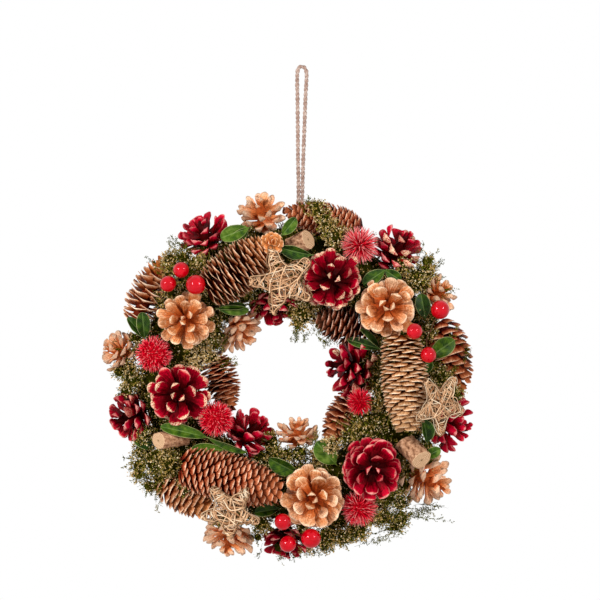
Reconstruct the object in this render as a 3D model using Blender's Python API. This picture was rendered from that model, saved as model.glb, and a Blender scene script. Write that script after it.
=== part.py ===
"""Pinecone wreath: open pine cones, spruce cones, dyed thistles, vine stars, branch stubs, berries,
leaves and moss on a flat-backed straw ring, with a loop of jute twine to hang it by.

Metres, +Z up. The origin is where a hook's peg bears under the top of the twine loop. The wreath faces
-Y and its flat back lies in a plane of constant Y. Each piece has a seat on the ring: a clock angle
(0 at the top, clockwise as seen from the front), a reach from the wreath's centre, and a standoff in
front of the flat back. Its axis points to a clock direction and lifts towards the front.
Sizes below are millimetres and degrees.
"""
import math
from collections import namedtuple

import bmesh
import bpy
from mathutils import Matrix, Quaternion, Vector

MM = 0.001
GAP = 0.3  # kept between neighbouring solids

# The wreath's centre, from the hook.
WREATH_DROP = 294.5
WREATH_SHIFT = -13.3
TWINE_STANDOFF = 6.0  # the twine's plane, in front of the flat back

# Straw ring: a round bundle cut flat at the back.
RING_REACH = 115.0
STRAW_RADIUS = 23.0
STRAW_STANDOFF = 18.0
STRAW_STEPS = 40
STRAW_ARC_STEPS = 10

# Moss blanket over the front and sides of the straw ring.
MOSS_INNER_RADIUS = 24.2
MOSS_THICKNESS = 2.2
MOSS_HALF_WRAP = 104.0  # degrees of the section, to each side of the front
MOSS_CLOCK_STEP = 7.5
MOSS_WRAP_STEP = 23.0
MOSS_SPLIT = 0.5  # degrees left open between two moss pieces

# Open pine cones.
OPEN_TIERS = 4
OPEN_LOBES = 7
# Spruce cones.
SPRUCE_TIERS = 6
SPRUCE_LOBES = 5

TWINE_DIAMETER = 3.0
TWINE_POINT_SPACING = 6.0
# The twine's own route in the plane of the loop, (across, up) from the hook.
TWINE_ROUTE = [
    (-3.8, -159.0), (-3.8, -148), (-3.8, -136), (-3.7, -122), (-3.7, -106), (-3.9, -90), (-4.0, -74),
    (-4.1, -58), (-4.3, -42), (-4.3, -28), (-4.5, -15), (-4.4, -5.0), (-3.3, -0.2), (0.0, 1.5),
    (3.4, -0.4), (4.7, -5.5), (4.5, -15), (4.0, -28), (3.5, -42), (3.0, -58), (2.5, -74), (2.0, -90),
    (1.5, -106), (1.1, -122), (0.7, -136), (0.4, -148), (0.4, -159.0),
]

Cone = namedtuple("Cone", "clock reach standoff aim lift radius length")
Ball = namedtuple("Ball", "clock reach standoff radius")
Star = namedtuple("Star", "clock reach standoff aim lift first_point radius")
Stub = namedtuple("Stub", "clock reach standoff aim lift radius length")
Blade = namedtuple("Blade", "aim lift length width")

NATURAL_CONES = [
    Cone(351, 160, 37, 352, 40, 23, 38),
    Cone(297, 109, 67, 300, 84, 28, 42),
    Cone(313, 66, 34, 133, 15, 20, 36),
    Cone(278, 163, 32, 283, 20, 21, 36),
    Cone(55, 114, 68, 60, 86, 28, 42),
    Cone(61, 164, 30, 62, 20, 19, 36),
    Cone(128, 166, 32, 118, 12, 22, 42),
    Cone(168, 120, 67, 170, 86, 29, 42),
    Cone(172, 59, 34, 5, 20, 19, 32),
    Cone(198.5, 166, 32, 196, 12, 24, 36),
]
BURGUNDY_CONES = [
    Cone(329, 160, 36, 340, 25, 23, 38),
    Cone(24, 102, 68, 12, 75, 28, 42),
    Cone(347, 68, 34, 172, 20, 20, 32),
    Cone(40, 161, 36, 38, 28, 22, 40),
    Cone(84, 61, 34, 275, 12, 21, 40),
    Cone(107, 166, 28, 108, 10, 20, 42),
    Cone(138, 121, 67, 140, 82, 28, 42),
    Cone(181, 160, 30, 182, 20, 20, 38),
    Cone(213, 69, 36, 42, 28, 21, 42),
    Cone(260, 105, 68, 262, 84, 29, 44),
    Cone(255, 158.5, 37, 250, 25, 22, 42),
]
SPRUCE_CONES = [
    Cone(337, 112, 70, 53, 0, 24, 86),
    Cone(301, 158, 32, 25, 0, 19, 70),
    Cone(13, 156, 36, 282, 0, 18, 76),
    Cone(45, 70, 40, 285, 0, 17, 58),
    Cone(85, 159, 32, 169, 0, 19, 76),
    Cone(95, 112, 69, 176, 0, 22, 92),
    Cone(132, 66, 32, 200, 0, 15, 58),
    Cone(208, 112, 70, 105, 0, 24, 98),
    Cone(219, 155.5, 32, 121, 0, 18, 64),
    Cone(262, 65, 32, 166, 0, 17, 60),
]
THISTLES = [
    Ball(278, 131, 60, 16),
    Ball(29, 141, 62, 16),
    Ball(111, 74, 58, 15),
    Ball(152, 145, 58, 17),
    Ball(238.5, 78.5, 66, 16),
]
VINE_STARS = [
    Star(357, 89, 98, 0, 90, 340, 33),
    Star(101, 147, 88, 100, 68, 34, 31),
    Star(203, 141, 90, 203, 66, 329, 30),
]
BRANCH_STUBS = [
    Stub(6, 128, 60, 95, 25, 8.5, 30),
    Stub(122, 143, 58, 136, 30, 8.5, 34),
    Stub(241, 127, 59, 262, 30, 8.5, 32),
]
# Each pick: its three berries, then the seat where their wires are twisted together.
BERRY_PICKS = [
    ([Ball(314, 143, 74, 7.8), Ball(307, 144, 72, 8.0), Ball(313.5, 126, 82, 10.0)], Ball(313, 139, 58, 1.6)),
    ([Ball(67, 158, 66, 9.0), Ball(71, 127, 94, 7.6), Ball(82, 135, 82, 7.6)], Ball(73, 143, 60, 1.6)),
    ([Ball(182, 140, 84, 8.0), Ball(180, 162, 66, 8.0), Ball(172, 158, 70, 9.5)], Ball(178, 153, 56, 1.6)),
]
WIRE_RADIUS = 0.7
# Each sprig: its root, then its blades.
LEAF_SPRIGS = [
    (Ball(345, 145, 56, 1.5), [Blade(251, 15, 28, 15), Blade(229, 5, 24, 11)]),
    (Ball(11, 116, 78, 1.5), [Blade(280, 5, 28, 14)]),
    (Ball(284, 142, 48, 1.5), [Blade(357, 25, 25, 13), Blade(324, 15, 25, 11)]),
    (Ball(313, 92, 52, 1.5), [Blade(95, 10, 29, 11), Blade(80, 10, 26, 9)]),
    (Ball(43, 136, 60, 1.5), [Blade(238, 10, 24, 13), Blade(122, 5, 18, 10)]),
    (Ball(83, 137, 60, 1.5), [Blade(54, 25, 24, 14)]),
    (Ball(75, 92, 48, 1.5), [Blade(287, 14, 33, 10), Blade(316, 25, 28, 9)]),
    (Ball(152, 98, 50, 1.5), [Blade(318, 20, 28, 20)]),
    (Ball(232, 98, 64, 1.5), [Blade(285, 8, 38, 12), Blade(106, 0, 34, 11)]),
]
LEAF_THICKNESS = 0.9

# Moss mounds that fill the gaps between cones: (clock, degrees round the section from the front with the
# outside positive, height, spread).
MOSS_MOUNDS = [
    (317, 38, 12, 12), (19, 18, 6, 9), (52, 58, 13, 13), (22, -74, 5, 8), (283, -44, 12, 12),
    (267, 56, 9, 6), (238, 74, 9, 8), (188, -60, 14, 12), (150, -44, 8, 12), (123, -20, 12, 12),
    (90, 40, 7, 9), (143, 80, 20, 14), (161, 78, 18, 14),
]

PIECE_COLOURS = {  # base colour, roughness, metallic
    "straw": ((0.62, 0.49, 0.25), 0.8, 0.0),
    "moss": ((0.21, 0.22, 0.06), 0.95, 0.0),
    "natural_cone": ((0.55, 0.27, 0.09), 0.5, 0.0),
    "burgundy_cone": ((0.28, 0.01, 0.03), 0.4, 0.0),
    "spruce_cone": ((0.40, 0.18, 0.07), 0.6, 0.0),
    "thistle": ((0.60, 0.03, 0.06), 0.7, 0.0),
    "vine": ((0.62, 0.42, 0.20), 0.7, 0.0),
    "branch": ((0.45, 0.31, 0.19), 0.8, 0.0),
    "berry": ((0.75, 0.0, 0.01), 0.12, 0.0),
    "leaf": ((0.05, 0.20, 0.03), 0.45, 0.0),
    "jute": ((0.50, 0.36, 0.22), 0.9, 0.0),
}


def clear_scene():
    for old in list(bpy.data.objects):
        bpy.data.objects.remove(old, do_unlink=True)


def material(name):
    """The Principled material of one kind of piece, made once."""
    if name in bpy.data.materials:
        return bpy.data.materials[name]
    colour, roughness, metallic = PIECE_COLOURS[name]
    made = bpy.data.materials.new(name)
    made.use_nodes = True
    shader = made.node_tree.nodes["Principled BSDF"]
    shader.inputs["Base Color"].default_value = (*colour, 1.0)
    shader.inputs["Roughness"].default_value = roughness
    shader.inputs["Metallic"].default_value = metallic
    return made


def seat(clock, reach, standoff):
    """The point of a seat, in metres."""
    angle = math.radians(clock)
    return Vector((
        WREATH_SHIFT + reach * math.sin(angle),
        TWINE_STANDOFF - standoff,
        -WREATH_DROP + reach * math.cos(angle),
    )) * MM


def pointing(aim, lift):
    """The unit vector of a clock direction lifted towards the front."""
    angle, rise = math.radians(aim), math.radians(lift)
    return Vector((math.cos(rise) * math.sin(angle), -math.sin(rise), math.cos(rise) * math.cos(angle)))


def facing(aim, lift, top=(0, 0, 1)):
    """The rotation that turns local +Z to that direction and local +Y as near the top direction as it can."""
    forward, up = pointing(aim, lift), Vector(top)
    if abs(forward.dot(up)) > 0.9:
        up = Vector((0, -1, 0)) if up.z else Vector((0, 0, 1))
    side = up.cross(forward).normalized()
    return Matrix((side, forward.cross(side), forward)).transposed().to_quaternion()


def add_object(name, mesh_data, kind, place=None, turn=None):
    """Adds a named object with its kind's material."""
    mesh_data.materials.append(material(kind))
    added = bpy.data.objects.new(name, mesh_data)
    bpy.context.scene.collection.objects.link(added)
    added.rotation_mode = "QUATERNION"
    if turn is not None:
        added.rotation_quaternion = turn
    if place is not None:
        added.location = place
    return added


def mesh_from(bm, name):
    bmesh.ops.recalc_face_normals(bm, faces=bm.faces)
    made = bpy.data.meshes.new(name)
    bm.to_mesh(made)
    bm.free()
    return made


def lobed_mesh(name, rings, lobes):
    """A closed body round Z from rings of (height, crest radius, notch radius, half turn of a lobe),
    in millimetres, with a centre point closing each end."""
    bm = bmesh.new()
    sides = 2 * lobes
    rows = []
    for height, crest, notch, shifted in rings:
        row = []
        for side in range(sides):
            radius = crest if (side + shifted) % 2 == 0 else notch
            angle = 2 * math.pi * side / sides
            row.append(bm.verts.new(Vector((radius * math.cos(angle), radius * math.sin(angle), height)) * MM))
        rows.append(row)
    for lower, upper in zip(rows, rows[1:]):
        for side in range(sides):
            after = (side + 1) % sides
            bm.faces.new((lower[side], lower[after], upper[after], upper[side]))
    for row, height in ((rows[0], rings[0][0]), (rows[-1], rings[-1][0])):
        centre = bm.verts.new(Vector((0, 0, height)) * MM)
        for side in range(sides):
            bm.faces.new((row[side], row[(side + 1) % sides], centre))
    return mesh_from(bm, name)


def open_cone_mesh(name, radius, length):
    """A pine cone with its scales spread: tiers of rounded scales, widest below the middle."""
    valley, notch = 0.52, 0.80
    rings = [(-length / 2, 0.45 * radius, 0.45 * radius, 0)]
    for tier in range(OPEN_TIERS):
        share = (tier + 0.62) / OPEN_TIERS
        outline = radius * math.sqrt(1 - ((share - 0.36) / 0.80) ** 2)
        height = length * (share - 0.5)
        rings.append((height, outline, outline * notch, tier % 2))
        if tier < OPEN_TIERS - 1:
            rings.append((height + 0.09 * length, outline * valley, outline * valley, 0))
    rings.append((length / 2, 0.22 * radius, 0.22 * radius, 0))
    return lobed_mesh(name, rings, OPEN_LOBES)


def spruce_cone_mesh(name, radius, length):
    """A long cone with close scales: a round base and a tapering tip."""
    valley, notch = 0.88, 0.93
    rings = [(-length / 2, 0.35 * radius, 0.35 * radius, 0)]
    for tier in range(SPRUCE_TIERS):
        share = (tier + 0.55) / SPRUCE_TIERS
        outline = radius * (1 - abs((share - 0.42) / 0.60) ** 2.6)
        height = length * (share - 0.5)
        rings.append((height, outline, outline * notch, tier % 2))
        if tier < SPRUCE_TIERS - 1:
            rings.append((height + 0.05 * length, outline * valley, outline * valley, 0))
    rings.append((length / 2, 0.18 * radius, 0.18 * radius, 0))
    return lobed_mesh(name, rings, SPRUCE_LOBES)


def add_cones(prefix, kind, cones, mesh_of):
    for number, cone in enumerate(cones, 1):
        name = f"{prefix}_{number:02d}"
        add_object(
            name, mesh_of(name, cone.radius, cone.length), kind,
            seat(cone.clock, cone.reach, cone.standoff), facing(cone.aim, cone.lift),
        )


def add_thistles():
    """Dyed seed heads: balls of short blunt bristles."""
    spike = 0.16
    for number, ball in enumerate(THISTLES, 1):
        name = f"thistle_{number:02d}"
        bm = bmesh.new()
        bmesh.ops.create_icosphere(bm, subdivisions=2, radius=ball.radius * (1 - spike) * MM)
        poked = bmesh.ops.poke(bm, faces=bm.faces)
        for vert in poked["verts"]:
            vert.co = vert.co.normalized() * ball.radius * MM
        add_object(name, mesh_from(bm, name), "thistle", seat(ball.clock, ball.reach, ball.standoff))


def add_vine_stars():
    """Five-pointed stars of bound vine, domed a little on both faces."""
    inner, half_thickness, rim_half = 0.50, 4.0, 2.0
    for number, star in enumerate(VINE_STARS, 1):
        name = f"vine_star_{number:02d}"
        outline = [
            (height, star.radius * share, star.radius * inner * share, 0)
            for height, share in ((-half_thickness, 0.86), (-rim_half, 1.0), (rim_half, 1.0), (half_thickness, 0.86))
        ]
        turn = facing(star.aim, star.lift)
        first = turn.inverted() @ pointing(star.first_point, 0)
        spin = Quaternion((0, 0, 1), math.atan2(first.y, first.x))
        add_object(
            name, lobed_mesh(name, outline, 5), "vine", seat(star.clock, star.reach, star.standoff), turn @ spin
        )


def add_branch_stubs():
    """Short pieces of branch in their bark, sawn square."""
    lobes, chamfer = 6, 0.6
    for number, stub in enumerate(BRANCH_STUBS, 1):
        name = f"branch_stub_{number:02d}"
        half, radius = stub.length / 2, stub.radius
        rings = [
            (height, r, r, 0)
            for height, r in (
                (-half, radius - chamfer), (-half + chamfer, radius), (0, 0.95 * radius),
                (half - chamfer, radius), (half, radius - chamfer),
            )
        ]
        add_object(
            name, lobed_mesh(name, rings, lobes), "branch",
            seat(stub.clock, stub.reach, stub.standoff), facing(stub.aim, stub.lift),
        )


def ball_mesh(name, radius, sides=10, rows=7):
    bm = bmesh.new()
    bmesh.ops.create_uvsphere(bm, u_segments=sides, v_segments=rows, radius=radius * MM)
    return mesh_from(bm, name)


def rod_mesh(name, start, end, radius, sides=4):
    """A straight round rod between two points."""
    bm = bmesh.new()
    along = end - start
    turn = along.to_track_quat("Z", "Y").to_matrix().to_4x4()
    bmesh.ops.create_cone(
        bm, cap_ends=True, segments=sides, radius1=radius * MM, radius2=radius * MM, depth=along.length,
        matrix=Matrix.Translation((start + end) / 2) @ turn,
    )
    return mesh_from(bm, name)


def join_helper(whole, helper):
    """Joins a hidden helper's shape to an object with a Boolean union."""
    helper.hide_render = True
    helper.display_type = "WIRE"
    union = whole.modifiers.new("join_" + helper.name, "BOOLEAN")
    union.operation = "UNION"
    union.object = helper


def add_berry_picks():
    """Three lacquered berries on wires that are twisted together at one point."""
    for number, (berries, twist) in enumerate(BERRY_PICKS, 1):
        name = f"berry_pick_{number:02d}"
        centre = seat(twist.clock, twist.reach, twist.standoff)
        pick = add_object(name, ball_mesh(name, twist.radius, 8, 6), "berry", centre)
        for index, berry in enumerate(berries, 1):
            middle = seat(berry.clock, berry.reach, berry.standoff)
            label = f"{name}_berry_{index}"
            join_helper(pick, add_object(label, ball_mesh(label, berry.radius), "berry", middle))
            label = f"{name}_wire_{index}"
            join_helper(pick, add_object(label, rod_mesh(label, centre, middle, WIRE_RADIUS), "berry"))


def blade_mesh(name, length, width):
    """A leaf blade along +Z with its upper face to +Y: folded along the midrib and arched."""
    stations = [(0.0, 0.12), (0.18, 0.62), (0.42, 1.0), (0.68, 0.92), (0.88, 0.52), (1.0, 0.12)]
    fold, arch = 0.22, 0.16
    bm = bmesh.new()
    rows = []
    for share, wide in stations:
        half = 0.5 * width * wide
        sag = -arch * length * share * share
        upper = [(-half, fold * half + sag), (0, sag), (half, fold * half + sag)]
        lower = [(x, y - LEAF_THICKNESS) for x, y in reversed(upper)]
        rows.append([bm.verts.new(Vector((x, y, share * length)) * MM) for x, y in upper + lower])
    for near, far in zip(rows, rows[1:]):
        for i in range(6):
            bm.faces.new((near[i], near[(i + 1) % 6], far[(i + 1) % 6], far[i]))
    for row in (rows[0], rows[-1]):
        bm.faces.new((row[0], row[1], row[4], row[5]))
        bm.faces.new((row[1], row[2], row[3], row[4]))
    return mesh_from(bm, name)


def add_leaf_sprigs():
    """Leathery leaves that grow from one short root."""
    for number, (root, blades) in enumerate(LEAF_SPRIGS, 1):
        name = f"leaf_sprig_{number:02d}"
        base = seat(root.clock, root.reach, root.standoff)
        sprig = add_object(name, ball_mesh(name, root.radius, 8, 6), "leaf", base)
        for index, blade in enumerate(blades, 1):
            label = f"{name}_blade_{index}"
            turn = facing(blade.aim, blade.lift, top=(0, -1, 0))
            leaf = add_object(label, blade_mesh(label, blade.length, blade.width), "leaf", base, turn)
            join_helper(sprig, leaf)


def section_point(clock, wrap, radius):
    """A point round the ring's section: wrap is degrees from the front, with the outside positive."""
    angle = math.radians(wrap)
    return seat(clock, RING_REACH + radius * math.sin(angle), STRAW_STANDOFF + radius * math.cos(angle))


def add_straw_ring():
    half_arc = math.degrees(math.acos(-STRAW_STANDOFF / STRAW_RADIUS))
    bm = bmesh.new()
    rows = []
    for step in range(STRAW_STEPS):
        clock = 360 * step / STRAW_STEPS
        wraps = [half_arc * (2 * i / STRAW_ARC_STEPS - 1) for i in range(STRAW_ARC_STEPS + 1)]
        rows.append([bm.verts.new(section_point(clock, wrap, STRAW_RADIUS)) for wrap in wraps])
    count = STRAW_ARC_STEPS + 1
    for step in range(STRAW_STEPS):
        near, far = rows[step], rows[(step + 1) % STRAW_STEPS]
        for i in range(count):
            bm.faces.new((near[i], near[(i + 1) % count], far[(i + 1) % count], far[i]))
    add_object("straw_ring", mesh_from(bm, "straw_ring"), "straw")


def moss_radius(clock, wrap):
    """The moss's outer radius round the ring's section: a thin blanket with mounds."""
    radius = MOSS_INNER_RADIUS + MOSS_THICKNESS
    for mound_clock, mound_wrap, height, spread in MOSS_MOUNDS:
        turned = (clock - mound_clock + 180) % 360 - 180
        along = RING_REACH * math.radians(turned)
        across = STRAW_RADIUS * math.radians(wrap - mound_wrap)
        radius += height * math.exp(-(along * along + across * across) / (spread * spread))
    return radius


def add_moss():
    """Sheet moss over the straw, in four pieces of a quarter each."""
    quarters = ("top_right", "bottom_right", "bottom_left", "top_left")
    wrap_steps = round(2 * MOSS_HALF_WRAP / MOSS_WRAP_STEP)
    clock_steps = round((90 - MOSS_SPLIT) / MOSS_CLOCK_STEP)
    wraps = [MOSS_HALF_WRAP * (2 * i / wrap_steps - 1) for i in range(wrap_steps + 1)]
    for quarter, label in enumerate(quarters):
        name = f"moss_{label}"
        bm = bmesh.new()
        rows = []
        for step in range(clock_steps + 1):
            clock = 90 * quarter + MOSS_SPLIT / 2 + (90 - MOSS_SPLIT) * step / clock_steps
            outer = [section_point(clock, wrap, moss_radius(clock, wrap)) for wrap in wraps]
            inner = [section_point(clock, wrap, MOSS_INNER_RADIUS) for wrap in reversed(wraps)]
            rows.append([bm.verts.new(point) for point in outer + inner])
        count = len(rows[0])
        for near, far in zip(rows, rows[1:]):
            for i in range(count):
                bm.faces.new((near[i], near[(i + 1) % count], far[(i + 1) % count], far[i]))
        for row in (rows[0], rows[-1]):
            for i in range(wrap_steps):
                bm.faces.new((row[i], row[i + 1], row[count - 2 - i], row[count - 1 - i]))
        add_object(name, mesh_from(bm, name), "moss")


def smooth_points(route, spacing):
    """Points about one spacing apart along a smooth curve through the route's points."""
    ends = [2 * route[0] - route[1], *route, 2 * route[-1] - route[-2]]
    found = [route[0]]
    for before, start, end, after in zip(ends, ends[1:], ends[2:], ends[3:]):
        pieces = max(1, round((end - start).length / spacing))
        for i in range(1, pieces + 1):
            t = i / pieces
            found.append(0.5 * (
                2 * start + (end - before) * t + (2 * before - 5 * start + 4 * end - after) * t * t
                + (3 * start - before - 3 * end + after) * t ** 3
            ))
    return found


def add_hanging_twine():
    """One length of jute, from the straw up over the hook and back down to the straw."""
    route = [Vector((across, 0, up)) * MM for across, up in TWINE_ROUTE]
    points = smooth_points(route, TWINE_POINT_SPACING * MM)
    curve = bpy.data.curves.new("hanging_twine", "CURVE")
    curve.dimensions = "3D"
    curve.bevel_depth = TWINE_DIAMETER / 2 * MM
    curve.bevel_resolution = 2
    curve.use_fill_caps = True
    spline = curve.splines.new("POLY")
    spline.points.add(len(points) - 1)
    for spline_point, place in zip(spline.points, points):
        spline_point.co = (*place, 1.0)
    add_object("hanging_twine", curve, "jute")


def main():
    clear_scene()
    add_straw_ring()
    add_moss()
    add_hanging_twine()
    add_cones("natural_cone", "natural_cone", NATURAL_CONES, open_cone_mesh)
    add_cones("burgundy_cone", "burgundy_cone", BURGUNDY_CONES, open_cone_mesh)
    add_cones("spruce_cone", "spruce_cone", SPRUCE_CONES, spruce_cone_mesh)
    add_thistles()
    add_vine_stars()
    add_branch_stubs()
    add_berry_picks()
    add_leaf_sprigs()


main()
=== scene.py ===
"""Looks of a pinecone wreath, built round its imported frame.

Every piece is a set of closed shells made in numpy: cone scales, bristles, vine, straw, moss sprigs, leaf
blades and twisted twine. Seats on the wreath are a clock angle (0 at the top, clockwise from the front), a
reach from the wreath's centre and a standoff in front of its flat back, in millimetres, as in the frame.
"""
import math

import bpy
import numpy as np
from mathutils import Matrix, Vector


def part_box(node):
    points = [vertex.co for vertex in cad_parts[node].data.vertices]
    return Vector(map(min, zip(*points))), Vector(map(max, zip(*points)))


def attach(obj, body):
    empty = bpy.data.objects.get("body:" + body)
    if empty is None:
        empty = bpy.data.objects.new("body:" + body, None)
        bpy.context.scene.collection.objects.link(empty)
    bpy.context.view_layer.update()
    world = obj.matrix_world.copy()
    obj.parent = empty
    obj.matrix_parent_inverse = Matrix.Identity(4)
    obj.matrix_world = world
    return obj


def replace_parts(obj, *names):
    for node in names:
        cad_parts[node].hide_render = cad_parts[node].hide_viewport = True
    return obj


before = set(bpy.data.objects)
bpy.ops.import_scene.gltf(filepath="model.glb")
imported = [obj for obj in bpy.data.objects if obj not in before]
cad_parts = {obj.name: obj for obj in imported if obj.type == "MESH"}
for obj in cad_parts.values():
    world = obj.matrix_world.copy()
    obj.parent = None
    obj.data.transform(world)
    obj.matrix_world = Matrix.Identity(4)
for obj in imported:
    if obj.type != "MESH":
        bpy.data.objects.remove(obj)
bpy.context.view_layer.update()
MM = 0.001
GOLDEN_TURN = math.radians(137.508)  # from one scale to the next, so that none lines up with another
UP = np.array([0.0, 0.0, 1.0])

# The ring's own measures: centre from its box, section as it was made.
RING_LOW, RING_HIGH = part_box("straw_ring")
RING_X = (RING_LOW.x + RING_HIGH.x) / 2
RING_Z = (RING_LOW.z + RING_HIGH.z) / 2
BACK_Y = RING_HIGH.y
RING_REACH, STRAW_RADIUS, STRAW_STANDOFF = 115.0, 23.0, 18.0
MOSS_RADIUS = 26.4


# ------------------------------------------------------------------ places and directions

def dice(name):
    """A seeded random generator of one piece's own."""
    return np.random.default_rng(list(name.encode()))


def stacked(*parts):
    """Values and arrays, spread to one shape and stacked along a last axis."""
    return np.stack(np.broadcast_arrays(*parts), -1)


def seat(clock, reach, standoff):
    """Points of seats, in metres. Each value may be an array."""
    angle = np.radians(clock)
    return stacked(RING_X + MM * reach * np.sin(angle), BACK_Y - MM * np.asarray(standoff, float),
                   RING_Z + MM * reach * np.cos(angle))


def shifted(point, move):
    """A point moved across and up, in millimetres."""
    return point + np.array([move[0], 0.0, move[1]]) * MM


def pointing(aim, lift):
    """The unit vector of a clock direction lifted towards the front."""
    aim, lift = np.radians(aim), np.radians(lift)
    return stacked(np.cos(lift) * np.sin(aim), -np.sin(lift), np.cos(lift) * np.cos(aim))


def unit(vectors):
    """The vectors, each with a length of one."""
    return vectors / np.maximum(np.linalg.norm(vectors, axis=-1, keepdims=True), 1e-12)


def sides_of(axis):
    """Two unit vectors across an axis, right-handed with it."""
    axis = unit(np.asarray(axis, float))
    other = np.where(np.abs(axis[..., 1:2]) < 0.8, [0.0, -1.0, 0.0], [0.0, 0.0, 1.0])
    first = unit(np.cross(other, axis))
    return first, np.cross(axis, first)


def gauge(node, axis):
    """A frame solid's middle, its length along an axis and its radius round that axis, in metres."""
    points = np.array([v.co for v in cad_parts[node].data.vertices])
    first, second = sides_of(axis)
    spans = np.stack([points @ first, points @ second, points @ axis], 1)
    low, high = spans.min(0), spans.max(0)
    middle = (low + high) / 2
    radius = np.hypot(spans[:, 0] - middle[0], spans[:, 1] - middle[1]).max()
    return middle @ np.stack([first, second, axis]), high[2] - low[2], radius


def smooth_line(points, count):
    """count points evenly along a smooth curve through the given ones."""
    points = np.asarray(points, float)
    ends = np.vstack([2 * points[0] - points[1], points, 2 * points[-1] - points[-2]])
    t = np.linspace(0, 1, 17)[:-1, None]
    parts = []
    for before, start, end, after in zip(ends, ends[1:], ends[2:], ends[3:]):
        square = 2 * before - 5 * start + 4 * end - after
        cube = 3 * start - before - 3 * end + after
        parts.append(0.5 * (2 * start + (end - before) * t + square * t ** 2 + cube * t ** 3))
    fine = np.vstack([*parts, points[-1:]])
    run = np.r_[0, np.cumsum(np.linalg.norm(np.diff(fine, axis=0), axis=1))]
    at = np.linspace(0, run[-1], count)
    return np.stack([np.interp(at, run, fine[:, i]) for i in range(fine.shape[1])], 1)


def eased(low, high, value):
    """0 below low, 1 above high, and a smooth rise between."""
    t = np.clip((np.asarray(value, float) - low) / (high - low), 0, 1)
    return t * t * (3 - 2 * t)


def drift(value, seed):
    """A smooth wander of about -1 to 1 along value, made of five waves."""
    rng = np.random.default_rng(seed)
    total = 0
    for step in range(1, 6):
        total = total + np.sin(value * step * rng.uniform(0.7, 1.3) + rng.uniform(0, 2 * math.pi)) / step
    return total / 1.6


# ------------------------------------------------------------------ meshes

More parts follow.
